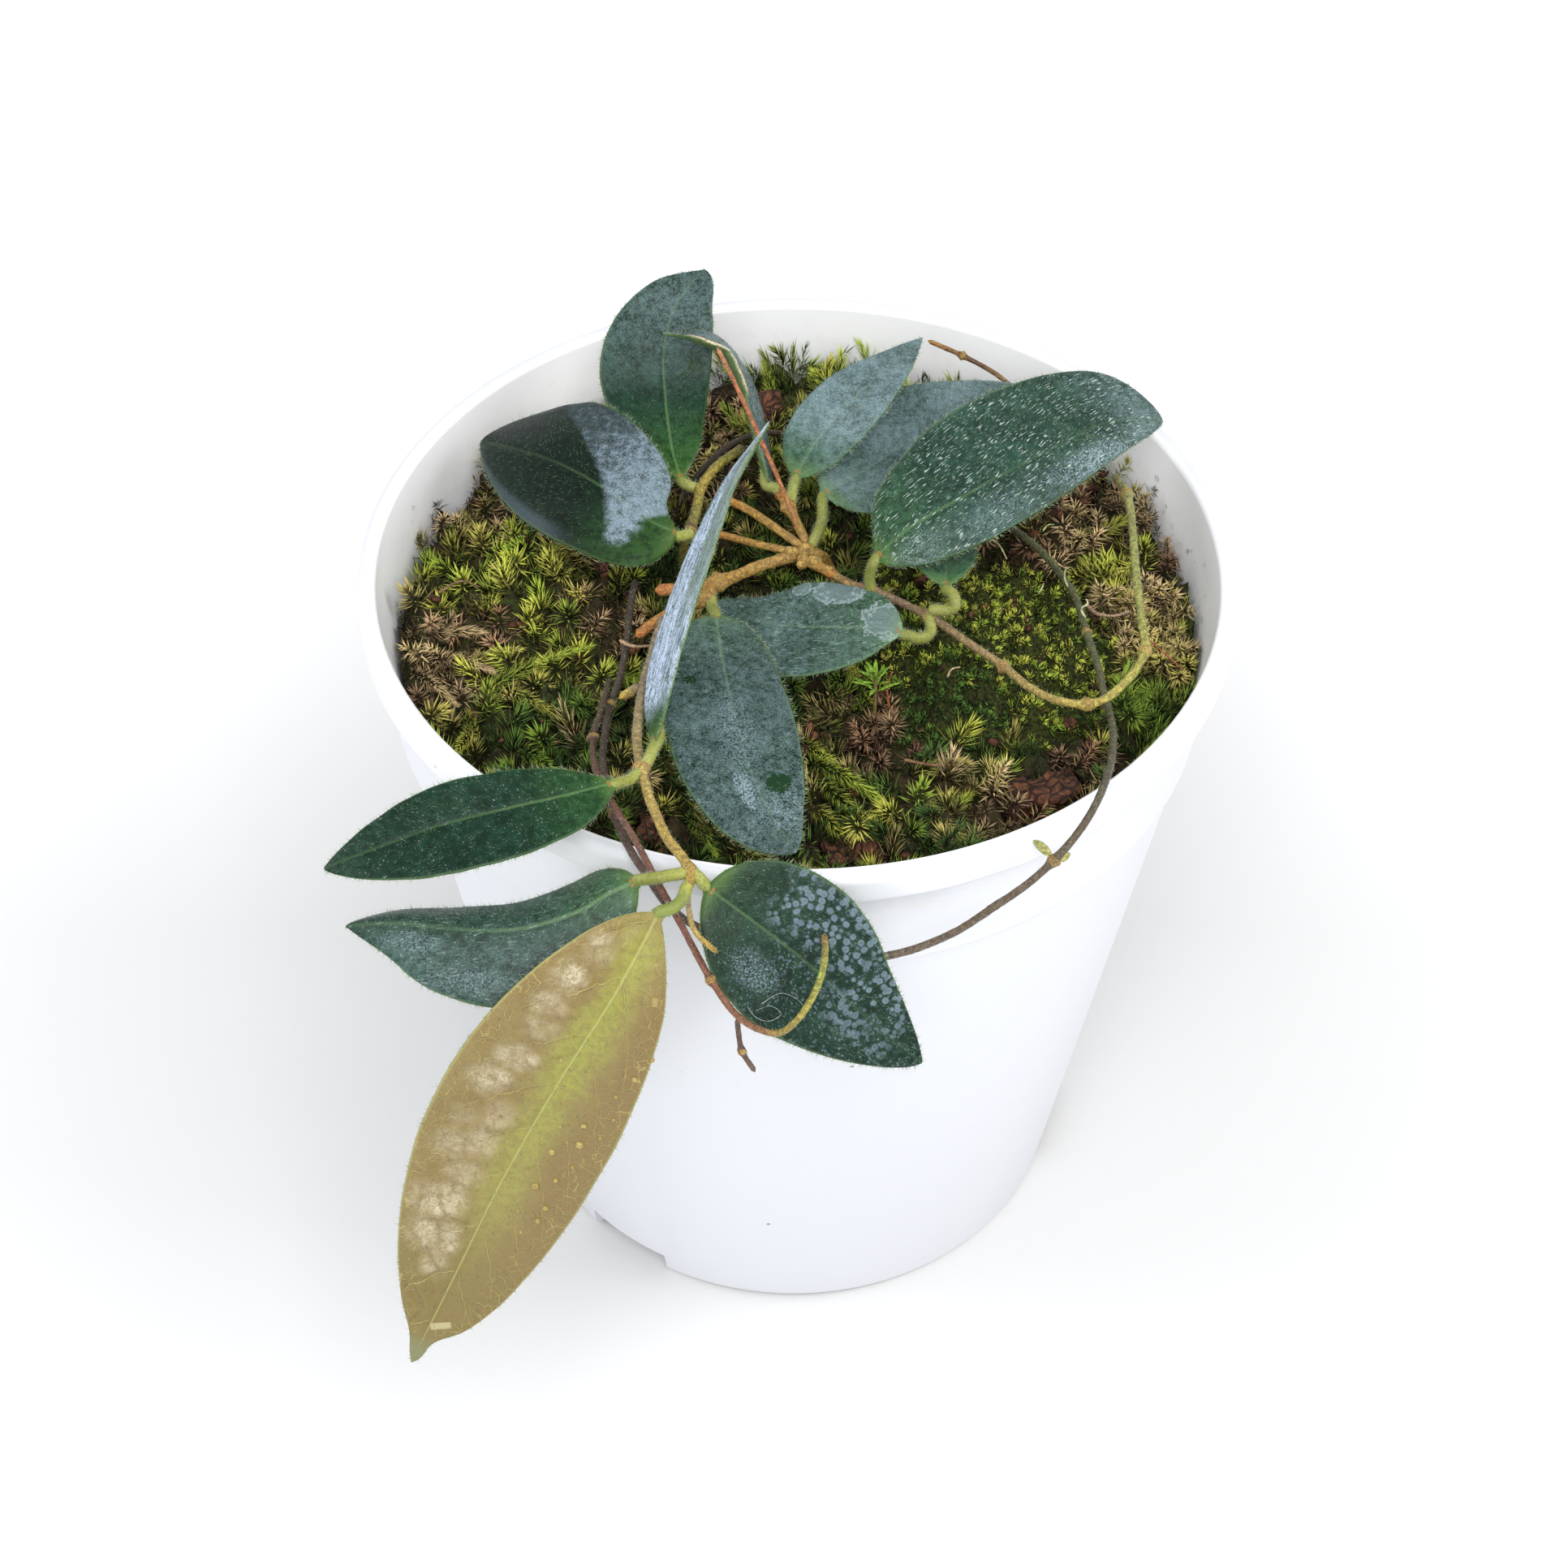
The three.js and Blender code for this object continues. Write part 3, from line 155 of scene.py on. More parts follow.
# Each branch: radius, the numbers of its points that swell into a node, and its points.
STEMS = {
    "rooted_stem": (
        (1.1, (0,), ((-0.2, -0.3, 114), (2.6, 1.2, 113), (4, 3, 109.5), (4.8, 6, 104), (5, 8, 96))),
        (1, (2,), ((0, 0, 114), (-5.9, -2.8, 114), (-10.8, -5.9, 114), (-14.6, -7, 114), (-19.2, -7.5, 114))),
        (0.9, (1,), ((-10.8, -5.9, 114), (-12.6, -8, 113), (-17.6, -9, 111), (-21.8, -11.5, 109.2))),
        (0.72, (), ((0.6, 0.8, 114.6), (-3.7, 4.7, 115.3), (-8.1, 8.8, 115.3), (-11.6, 11.4, 115))),
        (0.65, (), ((0, 0.4, 114), (-4.8, 2.8, 113.2), (-9.4, 5.2, 112.6), (-11.8, 6.6, 112.2))),
        (0.8, (1, 2), ((1.2, 1.6, 114.6), (-1.3, 7.6, 116), (-2.6, 10.6, 116.3))),
        (0.9, (), ((-0.2, -0.3, 114), (2.8, -2.4, 114), (5.4, -4.4, 114))),
    ),
    "right_vine": (
        (0.68, (2, 4, 6, 9, 12, 16), ((4.6, -3.9, 114), (7, -5.8, 114), (9.8, -7, 114), (14.1, -9.2, 113.5),
         (17.5, -11.1, 113), (23.9, -17.1, 112.5), (27.2, -20, 112.2), (30.1, -24.2, 112.6), (34, -27.4, 113),
         (37.7, -28.2, 113.2), (40.7, -27, 113.6), (44, -23.4, 114.6), (45.5, -20.9, 116), (45.3, -15.7, 117),
         (45.1, -7.5, 118), (45.1, 0.2, 119), (44.8, 7.2, 119.2), (43.4, 12, 118.4))),
    ),
    "left_vine": (
        (0.8, (0, 2), ((-13.6, 13, 115), (-14.1, 6.8, 115.5), (-14.8, 2.4, 115.5))),
        (0.75, (), ((-13.6, 13, 115), (-11.2, 17, 115.6), (-8.7, 20.4, 115.2), (-7.8, 21.8, 115))),
        (0.7, (), ((-14.1, 6.8, 115.5), (-15.2, 7.6, 112), (-16, 9, 106), (-16.4, 10, 96))),
    ),
    "front_vine": (
        (0.82, (5, 8), ((-18.2, -9.6, 111), (-19.2, -15.9, 111), (-20, -22, 112), (-20.5, -31, 114),
         (-20.4, -39.3, 116.6), (-19.6, -45.4, 118), (-18.2, -51.6, 118.4), (-16.2, -57.4, 118.4),
         (-13.1, -63.1, 118), (-13.1, -65.2, 117.2))),
        (0.85, (), ((-20.5, -24.6, 112.6), (-23.3, -26.9, 112.4))),
        (0.45, (), ((-13.1, -64.4, 117.6), (-13.2, -66.6, 116), (-12.4, -68.9, 113.6), (-9.6, -71, 112))),
    ),
    "loop_vine": (
        (0.62, (6, 13, 26, 30), ((26.4, 26, 96), (27.4, 22, 101), (29.9, 14.3, 106.8), (32.7, 8.6, 108.8),
         (35.6, 2.6, 109.4), (37.9, -3.8, 109.6), (38.9, -10.7, 109.8), (40, -17.3, 109.8), (40.6, -23.7, 109.8),
         (41, -28.9, 110.8), (40.4, -36.8, 113.6), (38.4, -46.8, 117), (35.8, -52.4, 116), (31.9, -55.6, 112.4),
         (29.2, -56.8, 110), (24, -58.4, 106.2), (18.7, -60.3, 103.4), (11.4, -62, 101.6), (5.5, -63, 101.8),
         (-0.1, -63.1, 102.6), (-7.7, -63.3, 105), (-11.7, -63.2, 107.6), (-14.2, -63, 109.6), (-16.4, -62.4, 112),
         (-18.5, -60.3, 114.2), (-21.2, -55, 114.4), (-23, -49.5, 114), (-24.4, -42.4, 112.8), (-25, -37.5, 111.8),
         (-25, -31.8, 110.6), (-24.6, -25.1, 109.4), (-23.6, -19.1, 108.8), (-23.1, -11.7, 108),
         (-22.9, -4.2, 107.4), (-22.6, 3, 105.6), (-22.4, 7, 101), (-22.4, 8, 96))),
    ),
    "young_shoot": (
        (0.62, (4, 12), ((-25.6, -8, 96), (-25.4, -12, 102), (-25.2, -20, 108), (-25.6, -28, 111.6),
         (-26.2, -36, 114), (-25.6, -43, 116), (-23.4, -50.6, 117.8), (-20.6, -56.4, 118), (-18, -61.8, 117.2),
         (-15.6, -65.6, 115), (-13.9, -67.6, 112.8), (-12.3, -69.6, 110.4), (-10.4, -72, 108.2),
         (-7.5, -75.6, 106.2), (-4.5, -78, 106), (-2.1, -79.4, 107), (0.1, -79, 109), (1.8, -77.4, 111),
         (2.9, -75.4, 112.8), (3.4, -72.8, 114.2), (3.3, -70.4, 115))),
    ),
    "dry_flower_stalk": (
        (0.5, (), ((0, 2.2, 116.8), (-2.4, 9, 118.8), (-5.4, 15.6, 121.8), (-9.2, 20.8, 128),
         (-11.3, 22.8, 131.6))),
    ),
    "dry_root": (
        (0.5, (), ((-18.8, 16, 97), (-18.4, 17.6, 103), (-15.3, 21.6, 108), (-10.8, 28.6, 108.8),
         (-7.2, 31.8, 108.8), (-4.2, 33.4, 108.2), (-1.5, 34.8, 106.4), (0.6, 36, 99.5))),
    ),
    "dry_twig": (
        (0.5, (1,), ((18.6, 42, 118.4), (23.6, 40.6, 116.8), (29.5, 38.8, 114), (34.4, 37.6, 108),
         (35.6, 36.6, 97))),
    ),
    "dead_twig": (
        (0.48, (2,), ((-7.2, -75.8, 105.4), (-7, -76.2, 103), (-6.6, -77, 100.8), (-5, -78, 98))),
    ),
}


# How each leaf looks. Green scales its own colour. Haze is the share of a grey coat, partly the leaf's own bloom
# and partly painted sheen where the blade would mirror bright light; hazed_side adds it on one half, high_haze
# beyond a place along the blade, and veils around places. bloom_and_sheen is its colour, and smooth makes it even.
# The rest are shares: specks, a pale rib, a fresh green foot, hairs, gloss, and marks of that leaf alone. Places
# are millimetres to the right of the midrib, then along it; wet spots add a radius, marks two radii, and veils
# two radii and a share.
LEAF_LOOKS = {
    "leaf_top": dict(green=1.6, high_haze=(0.2, 12, 28), specks=0.4, rib=1.0, fresh=0.9, hair=0.8,
                     wet=((4.6, 18.4, 1.3), (3.1, 17.3, 0.7))),
    "leaf_left_broad": dict(green=0.5, specks=0.1, rib=0.5, film=1.0, fresh=0.6, hair=0.28, shine=0.13),
    "leaf_curled": dict(green=1.4, haze=0.4, specks=0.3, rib=0.2, torn=1.0),
    "leaf_upright": dict(green=2.0, high_haze=(0.92, 2.5, 9), specks=0.2, rib=0.1, streaks=1.0,
                         bloom_and_sheen=(0.55, 0.66, 0.85)),
    "leaf_centre": dict(green=1.6, haze=0.22, specks=1.0, rib=0.8, wet=((-2.8, 34, 1.75), (4.9, 14.5, 0.9)),
                        veils=((0.5, 24, 3, 8, 0.16), (1.7, 33.6, 1.3, 3.2, 0.6), (-2, 38, 4, 4, 0.14))),
    "leaf_lance": dict(green=2.3, haze=0.18, specks=0.9, rib=0.8, fresh=0.7, dashes=0.6,
                       marks=((6.4, 9.8, 2.0, 3.6), (1.2, 2.6, 3.0, 2.8), (7.0, 16.2, 1.3, 2.2))),
    "leaf_small": dict(green=2.4, haze=0.08, specks=0.2, rib=0.5, fresh=0.6),
    "leaf_back": dict(green=2.2, haze=0.12, high_haze=(0.34, 1, 9), specks=0.3, rib=0.6, smooth=0.6),
    "leaf_behind": dict(green=2.2, haze=0.4, specks=0.3, rib=0.4, smooth=0.6),
    "leaf_big_right": dict(green=1.9, haze=0.03, hazed_side=(0.07, 1), high_haze=(0.2, 36, 46), specks=0.8,
                           rib=0.7, dashes=1.0, veils=((4.2, 34, 2.4, 9, 0.4), (3.2, 5, 3, 5, 0.16),
                                                       (4.5, 17, 2.2, 6, 0.1))),
    "leaf_low_left": dict(green=1.3, specks=1.0, rib=0.8, hair=0.5, shine=0.14),
    "leaf_wavy": dict(green=1.7, haze=0.04, hazed_side=(0.06, -1), specks=1.0, rib=0.8, dashes=0.3, hair=0.8,
                      veils=((-6.2, 21.5, 1.8, 6, 0.14), (-2.2, 29, 1.6, 5, 0.14))),
    "leaf_bronze": dict(bronze=True, beak=0.5),
    "leaf_front_right": dict(green=1.15, haze=0.01, specks=0.7, rib=0.5, fresh=0.1, spots=1.0, hair=0.65,
                             veils=((4.8, 10.8, 2.6, 4.4, 0.26),)),
}

# Colours along each branch, from its first point to its last.
BARK_COLOURS = {
    "rooted_stem": ((0.4, 0.25, 0.07), (0.44, 0.25, 0.05), (0.46, 0.17, 0.045)),
    "right_vine": ((0.42, 0.26, 0.08), (0.24, 0.16, 0.1), (0.34, 0.24, 0.1), (0.47, 0.36, 0.08),
                   (0.42, 0.39, 0.09), (0.27, 0.29, 0.08), (0.26, 0.24, 0.09)),
    "left_vine": ((0.46, 0.33, 0.06), (0.3, 0.27, 0.05), (0.08, 0.06, 0.03)),
    "front_vine": ((0.28, 0.21, 0.15), (0.34, 0.27, 0.18), (0.42, 0.31, 0.11), (0.46, 0.33, 0.08),
                   (0.4, 0.26, 0.05)),
    "loop_vine": ((0.07, 0.06, 0.03), (0.09, 0.11, 0.04), (0.1, 0.11, 0.05), (0.09, 0.08, 0.05),
                  (0.12, 0.09, 0.06), (0.18, 0.14, 0.1), (0.12, 0.08, 0.06), (0.1, 0.06, 0.05),
                  (0.07, 0.05, 0.04), (0.06, 0.045, 0.035), (0.05, 0.035, 0.025)),
    "young_shoot": ((0.05, 0.03, 0.02), (0.08, 0.05, 0.04), (0.08, 0.045, 0.035), (0.14, 0.06, 0.04),
                    (0.17, 0.07, 0.05), (0.2, 0.08, 0.055), (0.22, 0.09, 0.055), (0.25, 0.12, 0.055),
                    (0.36, 0.3, 0.055), (0.3, 0.34, 0.055), (0.22, 0.12, 0.05)),
    "dry_flower_stalk": ((0.42, 0.2, 0.06), (0.42, 0.13, 0.05), (0.45, 0.2, 0.1)),
    "dry_root": ((0.04, 0.03, 0.02), (0.05, 0.035, 0.025)),
    "dry_twig": ((0.4, 0.2, 0.06), (0.1, 0.05, 0.025), (0.44, 0.26, 0.09), (0.2, 0.1, 0.04)),
    "dead_twig": ((0.1, 0.06, 0.045), (0.12, 0.07, 0.05)),
}
# How thick each stem is beside its solid, and how many hairs it has on a millimetre.
STEM_THICKNESS = {"young_shoot": 0.68, "loop_vine": 0.8, "right_vine": 0.8, "front_vine": 0.78, "dry_twig": 0.7,
                  "dead_twig": 0.7, "dry_flower_stalk": 0.62, "rooted_stem": 0.82}
STEM_HAIRS = {"right_vine": 9, "front_vine": 10, "left_vine": 8, "loop_vine": 5, "young_shoot": 6}

# Moss tones run from dead brown at 0 through tan, olive and bright green to dark green at 1.
# MOSS_LOW is the colour at the foot of the leaflets and MOSS_HIGH at their tips; the foot's darkness is partly the
# moss's own colour and partly painted shade.
MOSS_LOW = ((0.0, (0.02, 0.012, 0.007)), (0.15, (0.05, 0.028, 0.015)), (0.3, (0.09, 0.06, 0.028)),
            (0.45, (0.05, 0.045, 0.01)), (0.6, (0.05, 0.06, 0.008)), (0.75, (0.028, 0.055, 0.005)),
            (0.9, (0.014, 0.036, 0.004)), (1.0, (0.008, 0.02, 0.004)))
MOSS_HIGH = ((0.0, (0.18, 0.1, 0.06)), (0.15, (0.42, 0.24, 0.13)), (0.3, (0.82, 0.62, 0.33)),
             (0.45, (0.62, 0.52, 0.15)), (0.6, (0.64, 0.65, 0.09)), (0.75, (0.42, 0.56, 0.06)),
             (0.9, (0.16, 0.28, 0.035)), (1.0, (0.08, 0.17, 0.03)))

# Each clump: distance between shoots, height, leaflets on a shoot, their length and width, how far they open
# in degrees at the foot and at the top, how much they curl, how much shoots lean, the usual tones, how bright
# they are, and how hilly the clump is.
MOSS_KINDS = {
    "star": dict(spacing=2.5, height=3.2, leaflets=24, length=2.7, width=0.25, opening=(95, 20), curl=-0.4,
                 lean=0.35, tones=(0.45, 0.6, 0.62, 0.7), glow=1.12),
    "cushion": dict(spacing=1.02, height=1.1, leaflets=10, length=1.0, width=0.17, opening=(75, 10), curl=-0.3,
                    lean=0.25, tones=(0.6, 0.66, 0.73, 0.83), glow=1.12, hills=1.1),
    "tuft": dict(spacing=2.4, height=4.2, leaflets=28, length=3.0, width=0.22, opening=(60, 8), curl=-0.3,
                 lean=0.3, tones=(0.5, 0.6, 0.66, 0.74), glow=0.66),
    "dry": dict(spacing=2.2, height=2.8, leaflets=24, length=2.2, width=0.26, opening=(95, 20), curl=0.4,
                lean=0.5, tones=(0.12, 0.2, 0.3, 0.45, 0.5)),
    "feather": dict(spacing=2.3, height=3, leaflets=28, length=2.8, width=0.2, opening=(80, 18), curl=-0.3,
                    lean=0.5, tones=(0.42, 0.55, 0.8, 0.92, 1.0), glow=0.88),
}
# Moss grows in two layers: spacing, size, share of the leaflets, brightness and how far it is lifted.
# The lower layer's low brightness is painted shade under the upper one.
MOSS_LAYERS = ((1.0, 0.9, 0.72, 0.38, 0.0), (1.7, 1.2, 1.5, 1.25, 0.8))
MOSS_CLUMPS = {
    "moss_left_star": "star", "moss_back_left": "dry", "moss_back_tufts": "tuft", "moss_back_right": "dry",
    "moss_right_cushion": "cushion", "moss_front_right": "feather", "moss_front_feather": "feather",
    "moss_middle": "feather",
}
# Patches of another tone or kind: centre, radius, tone, kind.
MOSS_PATCHES = (
    ((-45, -8), 7.5, 0.2, "dry"), ((-49, -13), 7, 0.28, "dry"), ((-52, -6), 4, 0.3, "dry"),
    ((-36, -29), 6, 0.9, "feather"), ((-33, -20), 6, 0.95, "feather"), ((-48, 6), 6, 0.66, "star"),
    ((-40, 9), 6, 0.7, "star"), ((-26, -4), 6, 0.2, "dry"), ((-30, 5), 5, 0.55, "star"),
    ((10.6, -24.5), 5.5, 0.14, "dry"), ((16, -24), 4, 0.2, "dry"), ((47, 2), 6, 0.36, "dry"),
    ((50, -6), 5, 0.42, "dry"), ((41, 20), 8, 0.3, "dry"), ((46, 10), 6, 0.62, "star"),
    ((-2, 49), 5, 0.72, "tuft"), ((5, 47), 5, 0.62, "tuft"), ((-11, 46), 6, 0.15, "dry"),
    ((27, -40), 4, 0.24, "dry"), ((38, -28), 5, 0.1, "dry"), ((18, -34), 4, 0.45, "feather"),
    ((20.3, -20), 7.5, 1.0, "cushion"), ((47, -22), 6, 0.85, "feather"), ((30, 20), 6, 0.5, "star"),
    ((52, 22), 5, 0.24, "dry"),
)
# Long feathery shoots: foot, tip seen from above, tone, leaflet length.
MOSS_FRONDS = (
    ((-43, -17), (-28.5, -9), 0.7, 2.3), ((-41, -15), (-31.6, -21), 0.55, 2.2),
    ((-46.6, -12), (-38, -9.6), 0.5, 2.0), ((-51.6, -5.4), (-43, -5.5), 0.3, 2.0),
    ((-52.5, -11), (-46, -19), 0.32, 2.0), ((-50, -9), (-41.5, -13.5), 0.27, 2.1),
    ((-43, -22), (-45, -30), 0.6, 2.0), ((-37, -25), (-31, -32), 0.78, 2.2),
    ((-35, -21), (-28, -17.5), 0.85, 2.0), ((3, -32), (10.3, -41), 0.66, 2.4),
    ((1.9, -29), (11.4, -37.4), 0.7, 2.4), ((1.9, -37.6), (8.1, -44), 0.6, 2.2),
    ((20.4, -39.7), (22.8, -35.8), 0.68, 1.8), ((14.8, -31.5), (22, -29.4), 0.5, 2.2),
    ((15.7, -37.5), (21.7, -44), 0.48, 2.2), ((-13.9, -37.8), (-10.6, -46), 0.8, 2.2),
    ((-8, -44), (-2, -49), 0.6, 2.2), ((0, -24), (5, -30), 0.62, 2.1), ((-27, -12), (-20, -17), 0.75, 2.0),
    ((28, -38), (34, -41), 0.4, 2.0), ((24, -32), (30, -35), 0.35, 2.1), ((44, -30), (49, -24), 0.8, 2.0),
    ((-3, 47), (-5, 53), 0.7, 2.4), ((3, 46), (2, 53), 0.66, 2.4), ((8, 45), (13, 51), 0.5, 2.2),
    ((42, 16), (48, 21), 0.6, 2.2), ((38, 24), (43, 31), 0.35, 2.2), ((-36, 28), (-42, 34), 0.4, 2.2),
    ((-50, 12), (-54, 18), 0.6, 2.2), ((-44, 14), (-48, 22), 0.45, 2.2), ((35, 30), (30, 38), 0.5, 2.2),
)

# Fine threads, rootlets and straws: points, radius and colour.
THREADS = (
    (((36.9, -1.8, 110), (36.4, -1, 111), (36.5, -0.4, 112), (37, -0.5, 112.6)), 0.17, (0.6, 0.62, 0.32)),
    (((38.9, -8.3, 110.2), (38.3, -7.3, 111), (39.2, -6.6, 111.4), (38.9, -6.2, 112)), 0.17, (0.6, 0.6, 0.36)),
    (((39.1, -3.9, 109), (40.8, -5.6, 108.6), (43.1, -5.7, 108.4), (45.3, -5, 108.6)), 0.3, (0.34, 0.22, 0.15)),
    (((46.6, -11.6, 110), (49.7, -15.3, 109.6), (51.4, -17.1, 109.2)), 0.14, (0.42, 0.1, 0.05)),
    (((32.9, -1.5, 108.4), (33.5, -0.6, 109), (33.8, 0.7, 108.6)), 0.16, (0.6, 0.6, 0.3)),
    (((27.1, 10.3, 108), (28.1, 8, 108.8), (29, 6.2, 108)), 0.16, (0.56, 0.56, 0.28)),
    (((20, -17.4, 107.6), (20.6, -16.4, 108.2), (21.9, -15.5, 107.8)), 0.18, (0.62, 0.5, 0.28)),
    (((34.2, 12.1, 108), (34.9, 12.8, 108.6), (36, 13.7, 108)), 0.16, (0.5, 0.52, 0.2)),
    (((-24, -12, 109), (-22, -13.6, 109.4), (-19.6, -13, 109)), 0.3, (0.5, 0.34, 0.2)),
    (((14, -30, 104.6), (18, -31.6, 105.2), (21, -30.8, 104.6)), 0.24, (0.3, 0.16, 0.08)),
    (((-50, 2, 104.6), (-46.6, 3.6, 105.6), (-44, 3, 105)), 0.22, (0.3, 0.18, 0.1)),
    (((30, 22, 106), (34, 24.6, 106.6), (38, 24, 106)), 0.26, (0.26, 0.14, 0.08)),
    (((12.4, -18.6, 103), (12, -18, 106), (12.6, -17.4, 108.6)), 0.2, (0.36, 0.1, 0.05)),
)
# Loops of a pale thread on the leaf at the front: millimetres to the right of the midrib, then along it.
LEAF_THREADS = (((8.9, 12.9), (9.2, 14.8), (8.4, 17.1), (6.9, 17.3), (7.0, 15.6), (8.4, 14.4)),
                ((7.4, 14.2), (5.2, 15.8), (4.2, 18), (4.7, 19.9)))
# Where a highlight is painted on the raised fields of the young leaf: to the right of the midrib, along it, two
# radii and how much.
GLEAMS = (
    (4.7, 7, 1.8, 2.2, 0.6), (6.4, 11.4, 2.3, 2.3, 0.9), (6.8, 15.6, 2.3, 1.8, 0.8), (5.6, 19.3, 2.3, 1.7, 0.85),
    (6.4, 24.6, 2.6, 1.9, 1.0), (8, 29, 2.6, 2.3, 0.9), (4.5, 33.8, 2.0, 2.2, 0.7), (8.6, 35.6, 1.8, 2.0, 0.4),
    (4.9, 39.3, 2.2, 2.6, 0.8), (8.3, 41, 2.4, 2.4, 0.8), (5, 44.6, 2.4, 2.0, 0.6), (5.6, 49.6, 2.8, 2.6, 1.0),
    (8.6, 50.6, 2.0, 2.6, 0.7), (6.6, 56, 2.6, 2.6, 0.9), (3.4, 55.6, 2.2, 3.0, 0.9), (3, 60, 1.8, 2.2, 0.5),
)
# Golden drops on the young leaf: millimetres to the right of the midrib, along it, and radius.
LEAF_DROPS = (
    (-4.2, 42, 0.62), (-3.8, 36, 0.6), (-5.6, 30, 0.5), (-6.4, 33, 0.7), (-2.2, 40, 0.3), (-7, 36.5, 0.35),
    (-5.8, 39.4, 0.45), (-6.6, 44.2, 0.5), (-6.2, 46.6, 0.5), (-4.9, 33.6, 0.28), (-3, 31.6, 0.3), (-2, 35, 0.25),
    (-8, 30.6, 0.3), (-7.6, 20, 0.45), (-8.4, 16.4, 0.4), (-7, 23.6, 0.3), (-8.2, 26.6, 0.3), (-5, 50, 0.28),
    (-3.4, 46.8, 0.25), (1.4, 22.4, 0.3),
)
# Corky knobs where the branches meet: centre and radius.
KNOBS = (((-0.8, -0.4, 114.7), 1.0), ((2.4, -2, 114.5), 0.95), ((1.3, 0.9, 114.3), 0.9), ((4.3, -3.6, 114.3), 0.8),
         ((0.6, -2, 113.8), 0.8))

# Where water drops hang inside the rim.
DEW_ON_WALL = ((54, 11.5, 105), (57, 17, 106), (57.5, 6, 104), (49, 37, 108),
               (-54.3, 16.7, 106), (44, 42, 107), (53, 23, 107), (58, 2, 105))

# What the leaves leave for later steps: the roots of their hairs, and the upper skin of each blade.
made = {"hairs": [], "surfaces": {}}


def seeded(name):
    """Random numbers that come out the same in every run for the same name."""
    return np.random.default_rng(sum((i + 1) * ord(letter) for i, letter in enumerate(name)))


def unit(vectors):
    """The same directions with length one."""
    length = np.linalg.norm(vectors, axis=-1, keepdims=True)
    return vectors / np.maximum(length, 1e-9)


def round_angles(count):
    """Even angles once round a circle."""
    return np.linspace(0, 2 * np.pi, count, endpoint=False)


def run_along(path):
    """The distance along a path at each of its points."""
    return np.concatenate([[0], np.cumsum(np.linalg.norm(np.diff(path, axis=0), axis=1))])


def square_to(directions):
    """Two directions square to each direction and to one another."""
    helper = np.where(np.abs(directions[..., 2:]) < 0.9, [0, 0, 1.0], [1.0, 0, 0])
    side = unit(np.cross(directions, helper))
    return side, np.cross(directions, side)


def ball(fineness):
    """The points and faces of a small ball with radius one."""
    source = bmesh.new()
    bmesh.ops.create_icosphere(source, subdivisions=fineness, radius=1)
    points = np.array([vertex.co[:] for vertex in source.verts])
    faces = np.array([[vertex.index for vertex in face.verts] for face in source.faces])
    source.free()
    return points, faces


def drift(places, scale, level):
    """Slow random changes over places seen from above."""
    return np.array([noise.noise(Vector((x * scale, y * scale, level))) for x, y in places[:, :2]])


def put(name, data):
    """Puts an object in the scene."""
    added = bpy.data.objects.new(name, data)
    bpy.context.scene.collection.objects.link(added)
    return added


def ripple(values, seed, waves):
    """A smooth random line through the values, between about -1 and 1."""
    random = np.random.default_rng(seed)
    total = np.zeros_like(values, dtype=float)
    for octave in range(4):
        count = waves * (1 + octave * 0.9)
        total += np.sin(2 * np.pi * (values * count + random.random())) * random.uniform(0.4, 1) / (octave + 1)
    return total / 1.6


def sum_node(operation, turned_round=False):
    """A method that adds one Math node, with its two sockets in order or turned round."""
    if turned_round:
        return lambda value, other: value.shader.math(operation, other, value)
    return lambda value, *other: value.shader.math(operation, value, *other)


class Value:
    """A shader socket that takes part in plain sums. Each sum adds its own node."""

    def __init__(self, shader, socket):
        self.shader = shader
        self.socket = socket

    __add__ = __radd__ = sum_node("ADD")
    __sub__, __rsub__ = sum_node("SUBTRACT"), sum_node("SUBTRACT", True)
    __mul__ = __rmul__ = sum_node("MULTIPLY")
    __truediv__, __rtruediv__ = sum_node("DIVIDE"), sum_node("DIVIDE", True)
    __pow__, __rpow__ = sum_node("POWER"), sum_node("POWER", True)
    __abs__ = sum_node("ABSOLUTE")
    fraction = sum_node("FRACT")
    least = sum_node("MINIMUM")
    most = sum_node("MAXIMUM")

    def step(self, low, high):
        """A soft step from 0 at low to 1 at high. It falls where low is the larger."""
        if low > high:
            return 1 - self.step(high, low)
        sockets = {0: self, 1: low, 2: high, 3: 0.0, 4: 1.0}
        return self.shader.node("ShaderNodeMapRange", {"interpolation_type": "SMOOTHSTEP"}, sockets)


